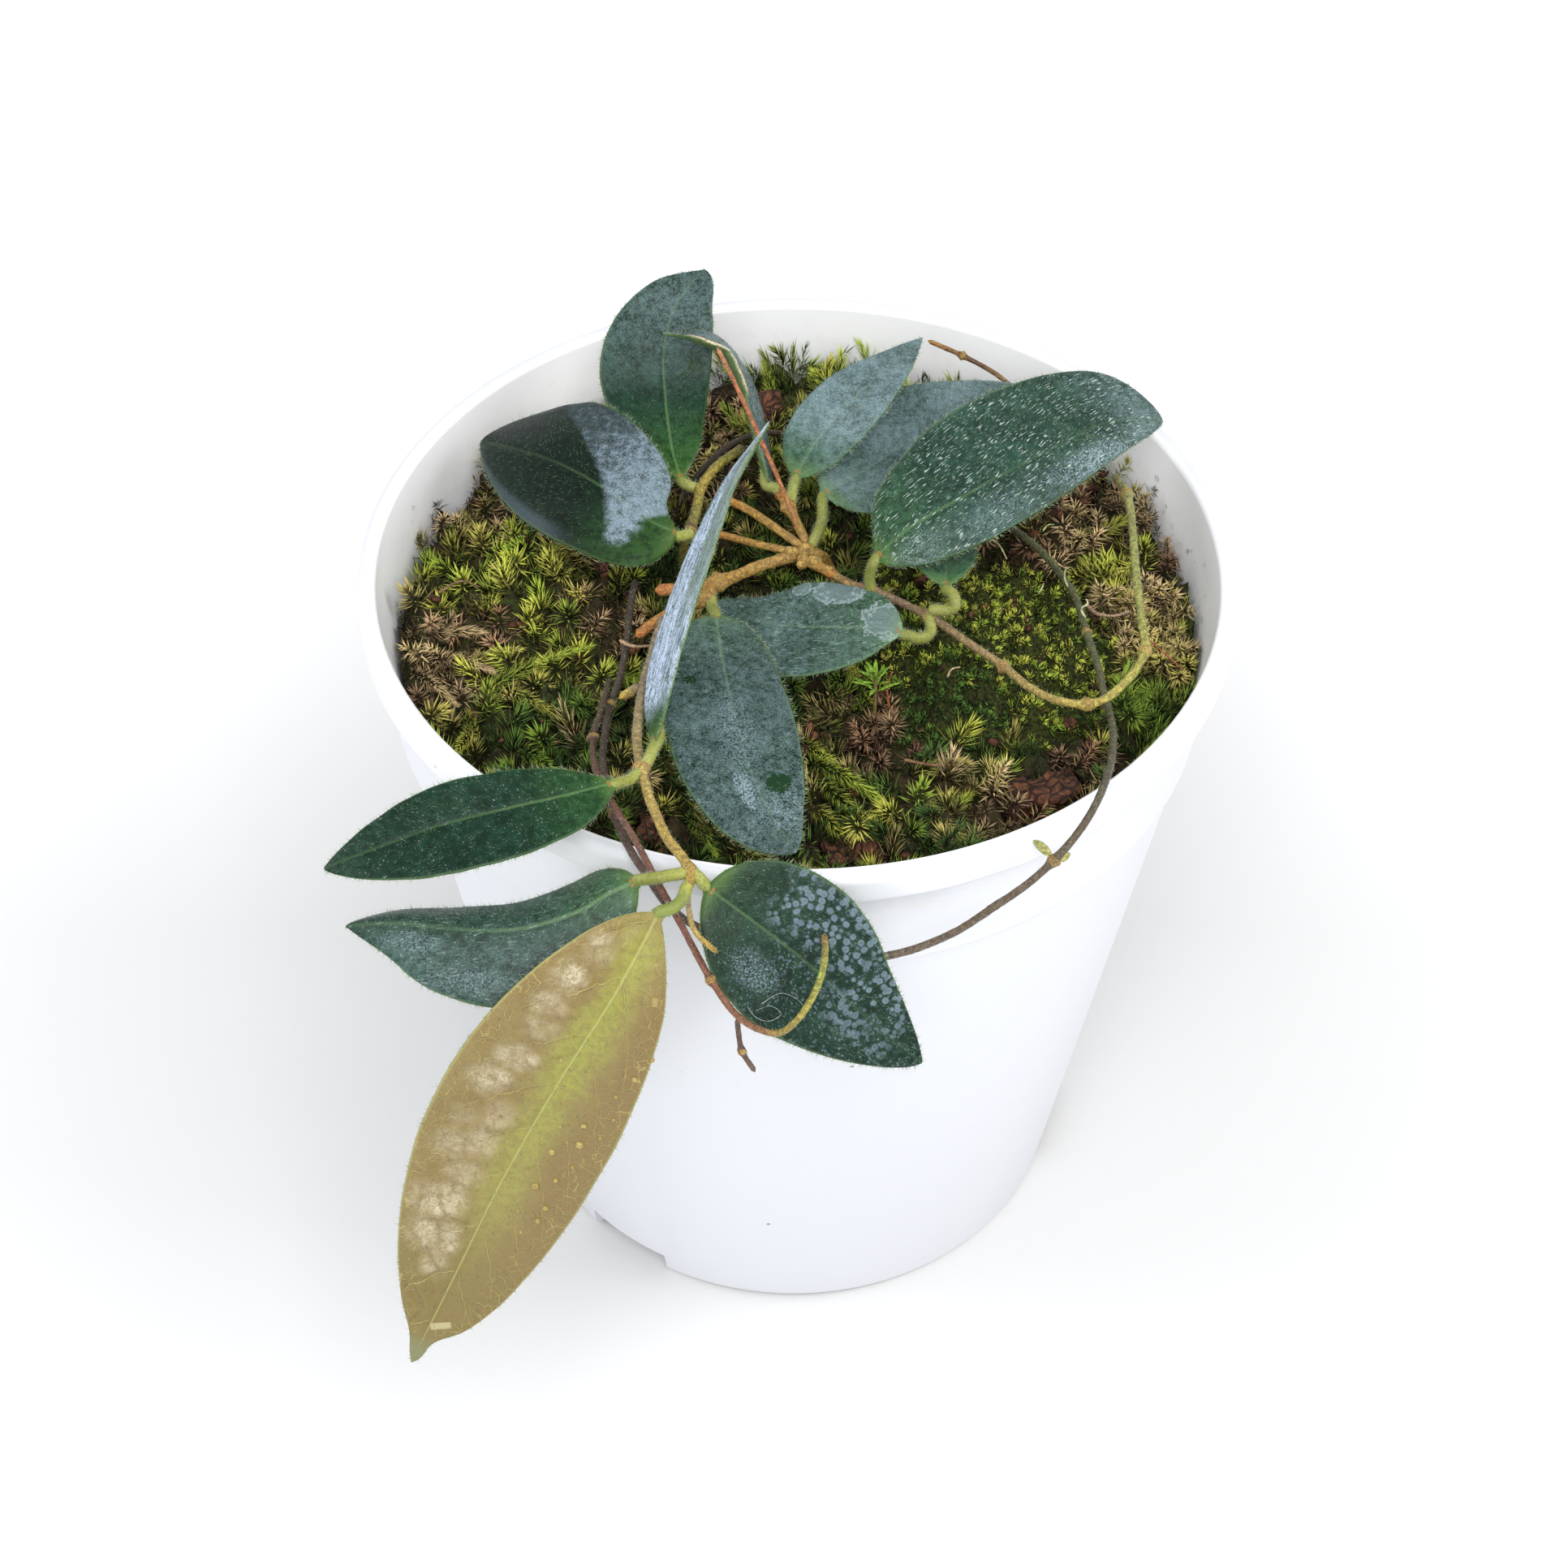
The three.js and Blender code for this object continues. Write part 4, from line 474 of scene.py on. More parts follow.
class Shader:
    """A node material built from plain expressions."""

    def __init__(self, name):
        self.material = bpy.data.materials.new(name)
        self.material.use_nodes = True
        self.tree = self.material.node_tree
        self.tree.nodes.clear()

    def plug(self, socket, given):
        """Links or sets one socket."""
        if isinstance(given, Value):
            self.tree.links.new(given.socket, socket)
        elif socket.type == "RGBA":
            socket.default_value = (*given, 1.0)
        else:
            socket.default_value = given

    def node(self, kind, settings=None, sockets=None, output=0):
        """Adds a node with its settings and its socket values or links."""
        added = self.tree.nodes.new(kind)
        for key, given in (settings or {}).items():
            if key == "stops":
                set_stops(added.color_ramp, given)
            else:
                setattr(added, key, given)
        for key, given in (sockets or {}).items():
            self.plug(added.inputs[key], given)
        return Value(self, added.outputs[output])

    def math(self, operation, *given):
        return self.node("ShaderNodeMath", {"operation": operation}, dict(enumerate(given)))

    def mix(self, share, first, second, blend="MIX"):
        """The first colour where the share is 0 and the second where it is 1."""
        settings = {"data_type": "RGBA", "blend_type": blend, "clamp_factor": True}
        return self.node("ShaderNodeMix", settings, {0: share, 6: first, 7: second}, 2)

    def layers(self, colour, *coats):
        """The colour under several coats, each with its share and its own colour."""
        for share, coat in coats:
            colour = self.mix(share, colour, coat)
        return colour

    def parts(self, vector):
        """The three numbers of a vector."""
        return [self.node("ShaderNodeSeparateXYZ", {}, {0: vector}, i) for i in range(3)]

    def joined(self, x, y, z=0.0):
        return self.node("ShaderNodeCombineXYZ", {}, {0: x, 1: y, 2: z})

    def kept(self, name):
        """A value kept on the points of the mesh."""
        return self.node("ShaderNodeAttribute", {"attribute_name": name}, {}, 1)

    def place(self):
        """Where the point is, in millimetres."""
        here = self.node("ShaderNodeTexCoord", {}, {}, 3)
        return self.node("ShaderNodeVectorMath", {"operation": "SCALE"}, {0: here, 3: 1 / MM})

    def clouds(self, where, scale, detail=3.0, roughness=0.5, warp=0.0):
        """Soft noise around 0.5."""
        sockets = {"Vector": where, "Scale": scale, "Detail": detail, "Roughness": roughness, "Distortion": warp}
        return self.node("ShaderNodeTexNoise", {}, sockets)

    def cells(self, where, scale, feature="F1", output=0, randomness=1.0):
        """Distance to the nearest scattered point, or to the nearest cell wall."""
        sockets = {"Vector": where, "Scale": scale, "Randomness": randomness}
        return self.node("ShaderNodeTexVoronoi", {"feature": feature}, sockets, output)

    def surface(self, colour, roughness=0.5, height=None, bump=0.1, **fixed):
        """The finished surface. Bump is in millimetres."""
        skin = self.tree.nodes.new("ShaderNodeBsdfPrincipled")
        self.plug(skin.inputs["Base Color"], colour)
        self.plug(skin.inputs["Roughness"], roughness)
        for key, given in fixed.items():
            self.plug(skin.inputs[key.replace("_", " ")], given)
        if height is not None:
            normal = self.node("ShaderNodeBump", {}, {"Strength": 1.0, "Distance": bump * MM, "Height": height})
            self.plug(skin.inputs["Normal"], normal)
        end = self.tree.nodes.new("ShaderNodeOutputMaterial")
        self.tree.links.new(skin.outputs[0], end.inputs[0])
        return self.material


def set_stops(ramp, stops):
    """Gives a colour ramp its stops."""
    while len(ramp.elements) < len(stops):
        ramp.elements.new(0.5)
    for element, (position, colour) in zip(ramp.elements, stops):
        element.position = position
        element.color = (*colour, 1.0)


class Shape:
    """Collects closed parts with values on their points, and makes one piece of them."""

    def __init__(self):
        self.points = []
        self.faces = []
        self.values = {}
        self.count = 0

    def add(self, points, faces, **values):
        """Adds a part. Faces are arrays of three or four point numbers each."""
        points = np.asarray(points, float).reshape(-1, 3)
        for group in faces:
            self.faces.append(np.asarray(group, int) + self.count)
        for name, given in values.items():
            given = np.broadcast_to(np.asarray(given, float), points.shape)
            self.values.setdefault(name, []).append(given)
        self.points.append(points)
        self.count += len(points)

    def mesh(self, name):
        """A mesh of all parts, in metres. Values called uv become the kept map."""
        points = np.concatenate(self.points) * MM
        corners = np.concatenate([group.ravel() for group in self.faces])
        sizes = np.concatenate([np.full(len(group), group.shape[1]) for group in self.faces])
        mesh = bpy.data.meshes.new(name)
        mesh.vertices.add(len(points))
        mesh.vertices.foreach_set("co", points.ravel())
        mesh.loops.add(len(corners))
        mesh.loops.foreach_set("vertex_index", corners)
        mesh.polygons.add(len(sizes))
        mesh.polygons.foreach_set("loop_start", np.concatenate([[0], np.cumsum(sizes)[:-1]]))
        mesh.polygons.foreach_set("use_smooth", np.ones(len(sizes), bool))
        mesh.update(calc_edges=True)
        for key, given in self.values.items():
            given = np.concatenate(given)
            if key == "uv":
                mesh.uv_layers.new(name=KEPT_MAP).data.foreach_set("uv", given[corners][:, :2].ravel())
            else:
                mesh.attributes.new(key, "FLOAT_VECTOR", "POINT").data.foreach_set("vector", given.ravel())
        return mesh

    def piece(self, name, material, replaced=(), slot=None):
        """Makes the piece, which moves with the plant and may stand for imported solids."""
        return make_piece(name, self.mesh(name), material, replaced)


def make_piece(name, mesh, material, replaced=()):
    """Puts a mesh in the scene as a piece of the plant."""
    mesh.materials.append(material)
    piece = put(name, mesh)
    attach(piece, "root")
    if replaced:
        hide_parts(*replaced)
    return piece


def centripetal(controls, where):
    """Points and directions at shares 0 to 1 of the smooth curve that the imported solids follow."""
    controls = np.asarray(controls, float)
    spans = len(controls) - 1
    along = np.clip(where, 0, 1) * spans
    index = np.minimum(along.astype(int), spans - 1)
    share = (along - index)[:, None]
    padded = np.vstack([2 * controls[0] - controls[1], controls, 2 * controls[-1] - controls[-2]])
    before, start, end, after = (padded[index + k] for k in range(4))
    gap0, gap1, gap2 = (np.linalg.norm(b - a, axis=1)[:, None] ** 0.5
                        for a, b in ((before, start), (start, end), (end, after)))
    first = ((start - before) / gap0 - (end - before) / (gap0 + gap1) + (end - start) / gap1) * gap1
    second = ((end - start) / gap1 - (after - start) / (gap1 + gap2) + (after - end) / gap2) * gap1
    square = -3 * start + 3 * end - 2 * first - second
    cube = 2 * start - 2 * end + first + second
    points = start + first * share + square * share ** 2 + cube * share ** 3
    return points, unit(first + 2 * square * share + 3 * cube * share ** 2)


def even_path(controls, step):
    """Points about a step apart along the smooth curve, with their directions and distances."""
    points, _ = centripetal(controls, np.linspace(0, 1, 400))
    run = run_along(points)
    wanted = np.linspace(0, run[-1], max(3, int(run[-1] / step) + 1))
    share = np.interp(wanted, run, np.linspace(0, 1, 400))
    points, directions = centripetal(controls, share)
    return points, directions, wanted, share


def side_vectors(directions):
    """Two directions square to a path at each of its points, which turn with it as little as possible."""
    start = np.array([0, 0, 1.0]) if abs(directions[0][2]) < 0.9 else np.array([1.0, 0, 0])
    sides = []
    for direction in directions:
        start = unit(start - direction * start.dot(direction))
        sides.append(start)
    sides = np.array(sides)
    return sides, np.cross(directions, sides)


def ring_faces(rows, columns):
    """Faces between closed rings, with one more point at each end, the first ring's end first."""
    row = np.arange(rows - 1)[:, None] * columns
    column = np.arange(columns)[None]
    following = (column + 1) % columns
    walls = np.stack([row + column, row + following, row + columns + following, row + columns + column], -1)
    around = np.arange(columns)
    after = (around + 1) % columns
    last = (rows - 1) * columns
    first_cap = np.stack([np.full(columns, rows * columns), after, around], -1)
    last_cap = np.stack([np.full(columns, rows * columns + 1), last + around, last + after], -1)
    return [walls.reshape(-1, 4), np.concatenate([first_cap, last_cap])]


def add_tube(shape, path, directions, radii, sides, **values):
    """A closed round tube with a radius for each point of the path, or for each point round it."""
    up, across = side_vectors(directions)
    angle = round_angles(sides)
    radii = np.asarray(radii, float)
    if radii.ndim == 1:
        radii = np.repeat(radii[:, None], sides, axis=1)
    ring = up[:, None] * np.cos(angle)[None, :, None] + across[:, None] * np.sin(angle)[None, :, None]
    rings = path[:, None] + ring * radii[..., None]
    points = np.concatenate([rings.reshape(-1, 3), path[:1], path[-1:]])
    spread = {}
    for name, given in values.items():
        given = np.asarray(given, float)
        around = np.repeat(given, sides, axis=0)
        spread[name] = np.concatenate([around, given[:1], given[-1:]])
    shape.add(points, ring_faces(len(path), sides), **spread)


def rounded_ends(path, radii, share=0.6):
    """Radii that close towards both ends of a path."""
    run = run_along(path)
    near = np.minimum(run, run[-1] - run) / (np.mean(radii) * share)
    return radii * np.sqrt(np.clip(1 - (1 - np.clip(near, 0, 1)) ** 2, 0.04, 1))


def inner_radius(height):
    """Inner wall radius of the pot at a height."""
    slope = (BODY_TOP_RADIUS - BASE_RADIUS) / COLLAR_BOTTOM
    at_collar = BODY_TOP_RADIUS - WALL
    above = at_collar + (RIM_INNER_RADIUS - at_collar) * (height - COLLAR_BOTTOM) / (POT_HEIGHT - COLLAR_BOTTOM)
    return np.where(height <= COLLAR_BOTTOM, at_collar - slope * (COLLAR_BOTTOM - height), above)


def kept_in_pot(points, gap=0.25):
    """Moves points that would pass through the wall back inside it."""
    points = points.copy()
    reach = np.hypot(points[..., 0], points[..., 1])
    allowed = inner_radius(points[..., 2]) - gap
    shrink = np.where((reach > allowed) & (points[..., 2] < POT_HEIGHT + 0.5), allowed / np.maximum(reach, 1e-6), 1)
    points[..., 0] *= shrink
    points[..., 1] *= shrink
    return points


# Leaves

def half_width(leaf, side, where):
    """Millimetres from the midrib to the edge on one side, at each place along the blade."""
    belly = leaf["belly"][side]
    rising = where < belly
    turn = np.clip(np.where(rising, where / belly, (1 - where) / (1 - belly)), 0, 1)
    power = np.where(rising, leaf["base"][side], leaf["tip"][side])
    share = np.sin(np.pi / 2 * turn) ** power
    least = 0.9 + (0.2 - 0.9) * where ** 0.7
    return np.maximum(leaf["width"][side] * share, least), share


def blade_grid(leaf, where, across, beak=0.0):
    """The middle surface of a blade as rows along it and columns across it, with the way it looks."""
    centre, forward = centripetal(leaf["midrib"], where)
    start, end = (np.array(facing, float) for facing in leaf["facing"])
    up = start + (end - start) * where[:, None]
    up = unit(up - forward * np.sum(up * forward, axis=1, keepdims=True))
    right = np.cross(forward, up)
    side = (across >= 0).astype(int)
    halves, shares = zip(*(half_width(leaf, k, where) for k in (0, 1)))
    half = np.array(halves)[side].T
    share = np.array(shares)[side].T
    lift = np.radians(np.array(leaf["lift"], float))[side]
    wave_height, wave_count = leaf.get("wave", (0, 0))
    turns = 2 * np.pi * wave_count * where[:, None] + side * np.pi
    rise = half * np.sin(lift) * np.abs(across) ** 1.5 + wave_height * across ** 2 * np.sin(turns) * share
    seed = int(1000 * leaf["width"][0] + 10 * leaf["width"][1])
    margin = ripple(where[:, None] + side * 0.37, seed, 2.2)
    flutter = ripple(where[:, None] + side * 0.61, seed + 1, 3.1)
    pinch = np.exp(-((where[:, None] - 0.95) / 0.04) ** 2) * (1 - 0.5 * side)
    half = half * (1 + 0.012 * margin) * (1 - beak * pinch)
    rise = rise + 0.22 * flutter * across ** 4 * share
    sideways = half * across * np.cos(lift)
    points = centre[:, None] + right[:, None] * sideways[..., None] + up[:, None] * rise[..., None]
    normal = np.cross(np.gradient(points, axis=1), np.gradient(points, axis=0))
    flat = np.linalg.norm(normal, axis=-1, keepdims=True) < 1e-9
    normal = unit(np.where(flat, up[:, None], normal))
    run = run_along(centre)
    along = np.repeat(run[:, None], len(across), axis=1)
    return dict(points=points, normal=normal, half=half, x=half * across, along=along, right=right,
                forward=forward, across=across, where=where)


UPPER_COLUMNS = np.array([0, 0.02, 0.045, 0.075, 0.11, 0.16, 0.22, 0.29, 0.36, 0.43, 0.5, 0.57, 0.64, 0.7, 0.76,
                          0.81, 0.855, 0.89, 0.92, 0.945, 0.965, 0.98, 0.991, 1])


def vein_phase(x, along, share, spacing, slope):
    """Counts the side veins: a whole number on each vein, which leaves the midrib and bends to the tip."""
    return (along - slope * np.abs(x) * (1 + 0.35 * share ** 3)) / spacing


def add_blade(shape, name, leaf):
    """A blade with rounded edges and a sunken midrib; raised fields between its side veins on the bronze leaf, a
    gentle ripple on the others.
    """
    look = LEAF_LOOKS[name]
    bronze = look.get("bronze", False)
    rows = 230 if bronze else 84
    across = np.concatenate([-UPPER_COLUMNS[:0:-1], UPPER_COLUMNS])
    if bronze:
        across = np.unique(np.concatenate([across, (across[1:] + across[:-1]) / 2]))
    where = (1 - np.cos(np.linspace(0, np.pi, rows))) / 2
    grid = blade_grid(leaf, where, across, look.get("beak", 0.0))
    x, along, normal = grid["x"], grid["along"], grid["normal"]
    share = np.abs(across)[None]
    squareness = np.clip(1.7 * grid["half"], 2.5, 18)
    ends = np.clip(1 - np.abs(2 * where - 1) ** 60, 0.02, 1)[:, None] ** 0.5
    thick = 1.0 * (1 - 0.3 * share ** 2) * np.sqrt(np.clip(1 - share ** squareness, 0, 1)) * ends
    thick = thick * np.clip(0.35 + 0.65 * np.minimum(grid["half"], 3) / 3, 0, 1)
    slope = np.where(x > 0, 0.9, 1.6) if bronze else 0.75
    phase = vein_phase(x, along, share, 8.5 if bronze else 4.6, slope)
    vein = np.abs((phase % 1) - 0.5) * 2
    fade = np.clip(grid["half"] / 4, 0, 1) * (1 - share ** 8)
    relief = -0.14 * np.exp(-(x / 0.5) ** 2) * fade
    pucker = np.zeros((*x.shape, 3))
    if bronze:
        height, pucker = puckered(x, along, seeded(name))
        side = np.where(x > 0, 1.0, 0.25) * fade * np.clip(np.abs(x) / 2, 0, 1)
        relief = relief + (height - 0.25 * vein ** 8) * side
        pucker = pucker * side[..., None]
    else:
        relief = relief + 0.06 * ripple(along / 30 + x / 17, len(name), 1.5) * fade
    upper = grid["points"] + normal * (thick * 0.52 + relief)[..., None]
    under = np.arange(len(across))[-3:0:-2]
    keel = 0.22 * np.exp(-(x / 0.7) ** 2) * fade
    lower = grid["points"] - normal * (thick * 0.48 - relief * 0.6 + keel)[..., None]
    ring = np.concatenate([upper, lower[:, under]], axis=1)
    columns = ring.shape[1]

    def around(values, fill=None):
        below = values[:, under] if fill is None else np.full_like(values[:, under], fill)
        return np.concatenate([values, below], axis=1)

    edge = np.repeat(share, rows, axis=0)
    blade = np.stack([around(x), around(along), around(phase)], -1)
    zone = np.stack([around(edge), around(np.ones_like(x), 0.0), np.zeros((rows, columns))], -1)
    middle = len(across) // 2

    def closed(values):
        return np.concatenate([values.reshape(-1, 3), values[0, middle][None], values[-1, middle][None]])

    ends_at = np.stack([grid["points"][0, middle], grid["points"][-1, middle]])
    points = np.concatenate([ring.reshape(-1, 3), ends_at])
    faces = [group[:, ::-1] for group in ring_faces(rows, columns)]
    shape.add(points, faces, blade=closed(blade), zone=closed(zone), pucker=closed(around(pucker)))
    grid["upper"] = upper
    made["surfaces"][name] = grid
    return grid


def puckered(x, along, random):
    """Uneven tilted fields between small veins: their height, where a highlight is painted on them, and the creases
    between them that get painted shade.
    """
    count = 330
    seeds = np.stack([random.uniform(-13, 14, count), random.uniform(0, 78, count)], -1)
    tilts = random.normal(0, 0.25, (count, 2))
    facet = random.uniform(0.4, 1.25, count)
    away = np.hypot((x[..., None] - seeds[:, 0]) * 0.85, (along[..., None] - seeds[:, 1]) * 0.9)
    order = np.argsort(away, axis=-1)[..., :2]
    first, second = (np.take_along_axis(away, order[..., k:k + 1], -1)[..., 0] for k in (0, 1))
    inside = np.clip((second - first) / 1.0, 0, 1) ** 0.6
    nearest = order[..., 0]
    slope = tilts[nearest]
    lean = slope[..., 0] * (x - seeds[nearest, 0]) + slope[..., 1] * (along - seeds[nearest, 1])
    height = inside * (0.2 + np.clip(lean, -0.3, 0.3))
    gleam = np.zeros_like(x)
    for side, down, wide, long, much in GLEAMS:
        reach = np.hypot((x - side) / wide, (along - down) / long)
        gleam = np.maximum(gleam, much * np.clip(1.9 - 1.4 * reach, 0, 1))
    gleam = np.clip(gleam * facet[nearest], 0, 1) * (0.3 + 0.7 * inside)
    return height, np.stack([gleam, np.clip(1 - inside * 1.6, 0, 1), inside * 0], -1)


def add_petiole(shape, leaf):
    """The thick leaf stalk, which thins out under the base of the blade."""
    into_blade, _ = centripetal(leaf["midrib"], np.array([0.05, 0.1]))
    root, second = (np.array(point, float) for point in leaf["petiole"][:2])
    controls = [root + unit(root - second) * 0.6, *leaf["petiole"], leaf["midrib"][0], *into_blade]
    path, directions, run, share = even_path(controls, 0.3)
    thin = np.clip((1 - share) / 0.35, 0.25, 1)
    radii = 0.77 * thin ** 0.6 * (1 + 0.03 * ripple(share, len(path), 2))
    radii = rounded_ends(path, radii)
    last = np.linalg.norm(path - np.array(leaf["midrib"][0], float), axis=1).argmin()
    sink = np.clip((run - run[last] + 1.0) / 2.0, 0, 1) * 0.55
    path = path - unit(np.array(leaf["facing"][0], float)) * sink[:, None]
    blade = np.stack([np.zeros_like(run), -run, np.zeros_like(run)], -1)
    zone = np.repeat([[0.0, 1.0, 1.0]], len(run), axis=0)
    add_tube(shape, path, directions, radii, TUBE_SIDES, blade=blade, zone=zone, pucker=zone * 0)
    return path, directions, radii


def grow_hairs(roots, directions, lengths, brightness):
    """Keeps hairs for the hair piece: where they stand, which way, how long and how bright they are."""
    bright = np.full(len(roots), brightness)
    made["hairs"].append((np.asarray(roots), unit(np.asarray(directions)), np.asarray(lengths), bright))


def hair_blade(name, grid, density):
    """Fringes both edges of a blade and scatters short hairs over its upper side."""
    random = seeded(name + " hair")
    points, normal = grid["upper"], grid["normal"]
    for column, sign in ((0, -1), (-1, 1)):
        edge = points[:, column]
        run = run_along(edge)
        count = int(run[-1] * 5 * density)
        spots = np.sort(random.uniform(0, run[-1], count))
        roots = np.stack([np.interp(spots, run, edge[:, k]) for k in range(3)], -1)
        row = np.clip(np.searchsorted(run, spots), 1, len(run) - 1)
        outward = grid["right"][row] * sign
        lean = grid["forward"][row] * random.normal(0.25, 0.45, (count, 1))
        rise = normal[row, column] * random.normal(0.1, 0.5, (count, 1))
        grow_hairs(roots, outward + lean + rise, random.uniform(0.4, 0.95, count), 0.75)
    area = float(np.sum(grid["half"].mean(axis=1) * 2 * np.gradient(grid["along"][:, 0])))
    count = int(area * 1.9 * density)
    row = random.integers(1, len(points) - 1, count * 2)
    weight = grid["half"][row, 1] * np.gradient(grid["along"][:, 0])[row]
    row = random.choice(row, count, p=weight / weight.sum())
    across = random.uniform(-0.97, 0.97, count)
    column = np.clip(np.searchsorted(grid["across"], across), 1, points.shape[1] - 1)
    low, high = grid["across"][column - 1], grid["across"][column]
    share = ((across - low) / (high - low))[:, None]
    slide = random.random((count, 1))
    here = points[row, column - 1] * (1 - share) + points[row, column] * share
    following = points[row + 1, column - 1] * (1 - share) + points[row + 1, column] * share
    roots = here * (1 - slide) + following * slide
    lean = grid["forward"][row] * random.normal(0.5, 0.5, (count, 1))
    outward = grid["right"][row] * (np.sign(across)[:, None] * 0.3 + random.normal(0, 0.4, (count, 1)))
    grow_hairs(roots, normal[row, column] * random.uniform(0.1, 0.5, (count, 1)) + lean + outward,
               random.uniform(0.35, 0.85, count), 0.36 * LEAF_LOOKS[name].get("hair", 1.0))


def hair_tube(name, path, directions, radii, per_mm, lengths):
    """Hairs all round a stalk or a stem."""
    random = seeded(name + " fringe")
    up, across = side_vectors(directions)
    run = np.linalg.norm(np.diff(path, axis=0), axis=1).sum()
    count = int(run * per_mm)
    row = random.integers(0, len(path), count)
    angle = random.uniform(0, 2 * np.pi, count)
    outward = up[row] * np.cos(angle)[:, None] + across[row] * np.sin(angle)[:, None]
    roots = path[row] + outward * radii[row][:, None] * 0.9
    lean = directions[row] * random.normal(0.1, 0.35, (count, 1))
    grow_hairs(roots, outward + lean, random.uniform(*lengths, count), 0.7)


def leaf_material(name, look, settings):
    """A leaf skin: green under a grainy grey coat of bloom and painted sheen, faint side veins, pale specks and the
    marks of that leaf.
    """
    shader = Shader(name)
    x, along, phase = shader.parts(shader.kept("blade"))
    edge, upper, stalk = shader.parts(shader.kept("zone"))
    flat = shader.joined(x, along)
    place = shader.place()
    broad = shader.clouds(place, 0.16, 2)
    fine = shader.clouds(place, 0.9, 4, 0.6)
    grain = shader.clouds(place, 3.8, 3, 0.7)
    ribs = shader.clouds(shader.joined(phase * 6.0, x * 0.3), 1.0, 4, 0.7)
    deep = tuple(c * look["green"] for c in settings.deep_green)
    colour = shader.mix(broad.step(0.35, 0.7), deep, tuple(c * 1.5 for c in deep))
    colour = shader.layers(
        colour,
        (along.step(15.0, 0.5) * look.get("fresh", 0.5), settings.fresh_green),
        (ribs.step(0.5, 0.64) * 0.35, tuple(c * 2.6 for c in deep)),
        (fine.step(0.52, 0.38) * 0.5, tuple(c * 0.4 for c in deep)),
    )
    rib = abs(x + (fine - 0.5) * 0.2).step(0.34, 0.04) * (0.35 + 0.65 * along.step(26, 6))
    rays = abs(abs(x) - along * 0.9).step(0.2, 0.05) * along.step(4.5, 1.5)
    colour = shader.mix(rib.most(rays * 0.4) * look["rib"] * 0.6, colour, (0.12, 0.22, 0.08))
    # Share of the grey coat: partly the leaf's own bloom, partly painted sheen where the blade would mirror bright
    # light.
    haze = look.get("haze", 0.0)
    if "hazed_side" in look:
        amount, side = look["hazed_side"]
        haze = haze + (x * side).step(0.3, 3.0) * amount
    if "high_haze" in look:
        amount, low, high = look["high_haze"]
        haze = haze + along.step(low, high) * amount
    for side, down, wide, long, amount in look.get("veils", ()):
        near = (((x - side) / wide) ** 2.0 + ((along - down) / long) ** 2.0 + (fine - 0.5) * 2.5).step(1.2, 0.0)
        haze = haze + near * amount * (0.35 + 1.3 * grain.step(0.47, 0.6))
    rugged = look.get("smooth", 1.0)
    patch = (fine - 0.5) * 3.0 * rugged + (grain - 0.5) * 5.4 * rugged + (broad - 0.5) * 1.5 + (ribs - 0.5) + 0.9
    bloom_and_sheen_share = (patch.most(0.0) * haze).least(0.94)
    colour = shader.mix(bloom_and_sheen_share, colour, look.get("bloom_and_sheen", settings.bloom_and_sheen))
    specks = shader.cells(flat, 1.35).step(0.13, 0.06) * fine.step(0.48, 0.58)
    flecks = shader.clouds(place, 5.0, 3, 0.6).step(0.62, 0.68) * fine.step(0.47, 0.6)
    colour = shader.mix(specks.most(flecks) * look["specks"] * 0.6, colour, (0.44, 0.52, 0.52))
    rough = 0.34 + bloom_and_sheen_share * 0.2
    colour, rough = leaf_marks(shader, look, colour, rough, x, along, edge, flat, fine, grain)
    colour = shader.mix(edge.step(0.95, 0.995) * 0.5, colour, (0.09, 0.16, 0.06))
    below = shader.mix(fine.step(0.3, 0.7), (0.08, 0.14, 0.05), (0.13, 0.2, 0.08))
    colour = shader.mix(upper, below, colour)
    colour = shader.mix(along.step(3.0, 0.3) * upper * 0.4, colour, (0.12, 0.22, 0.04))
    gland = away_from(abs(x), along, 0.28, 0.8).step(0.26, 0.14)
    colour = shader.mix(gland * upper * 0.8, colour, (0.34, 0.12, 0.03))
    stem = shader.mix(along.step(-1.0, -4.5), (0.31, 0.32, 0.075), (0.21, 0.22, 0.045))
    stem = shader.layers(
        stem,
        (fine.step(0.42, 0.64) * 0.4, (0.34, 0.36, 0.14)),
        (grain.step(0.52, 0.38) * 0.5, (0.08, 0.13, 0.025)),
    )
    colour = shader.mix(stalk, colour, stem)
    height = fine * 0.5 + grain * 0.3 + ribs * 0.35 * (1 - stalk)
    return shader.surface(colour, rough, height, 0.16, Specular_IOR_Level=look.get("shine", 0.2))


def away_from(x, along, side, down):
    """Distance over the blade from a place on it."""
    return ((x - side) * (x - side) + (along - down) * (along - down)) ** 0.5


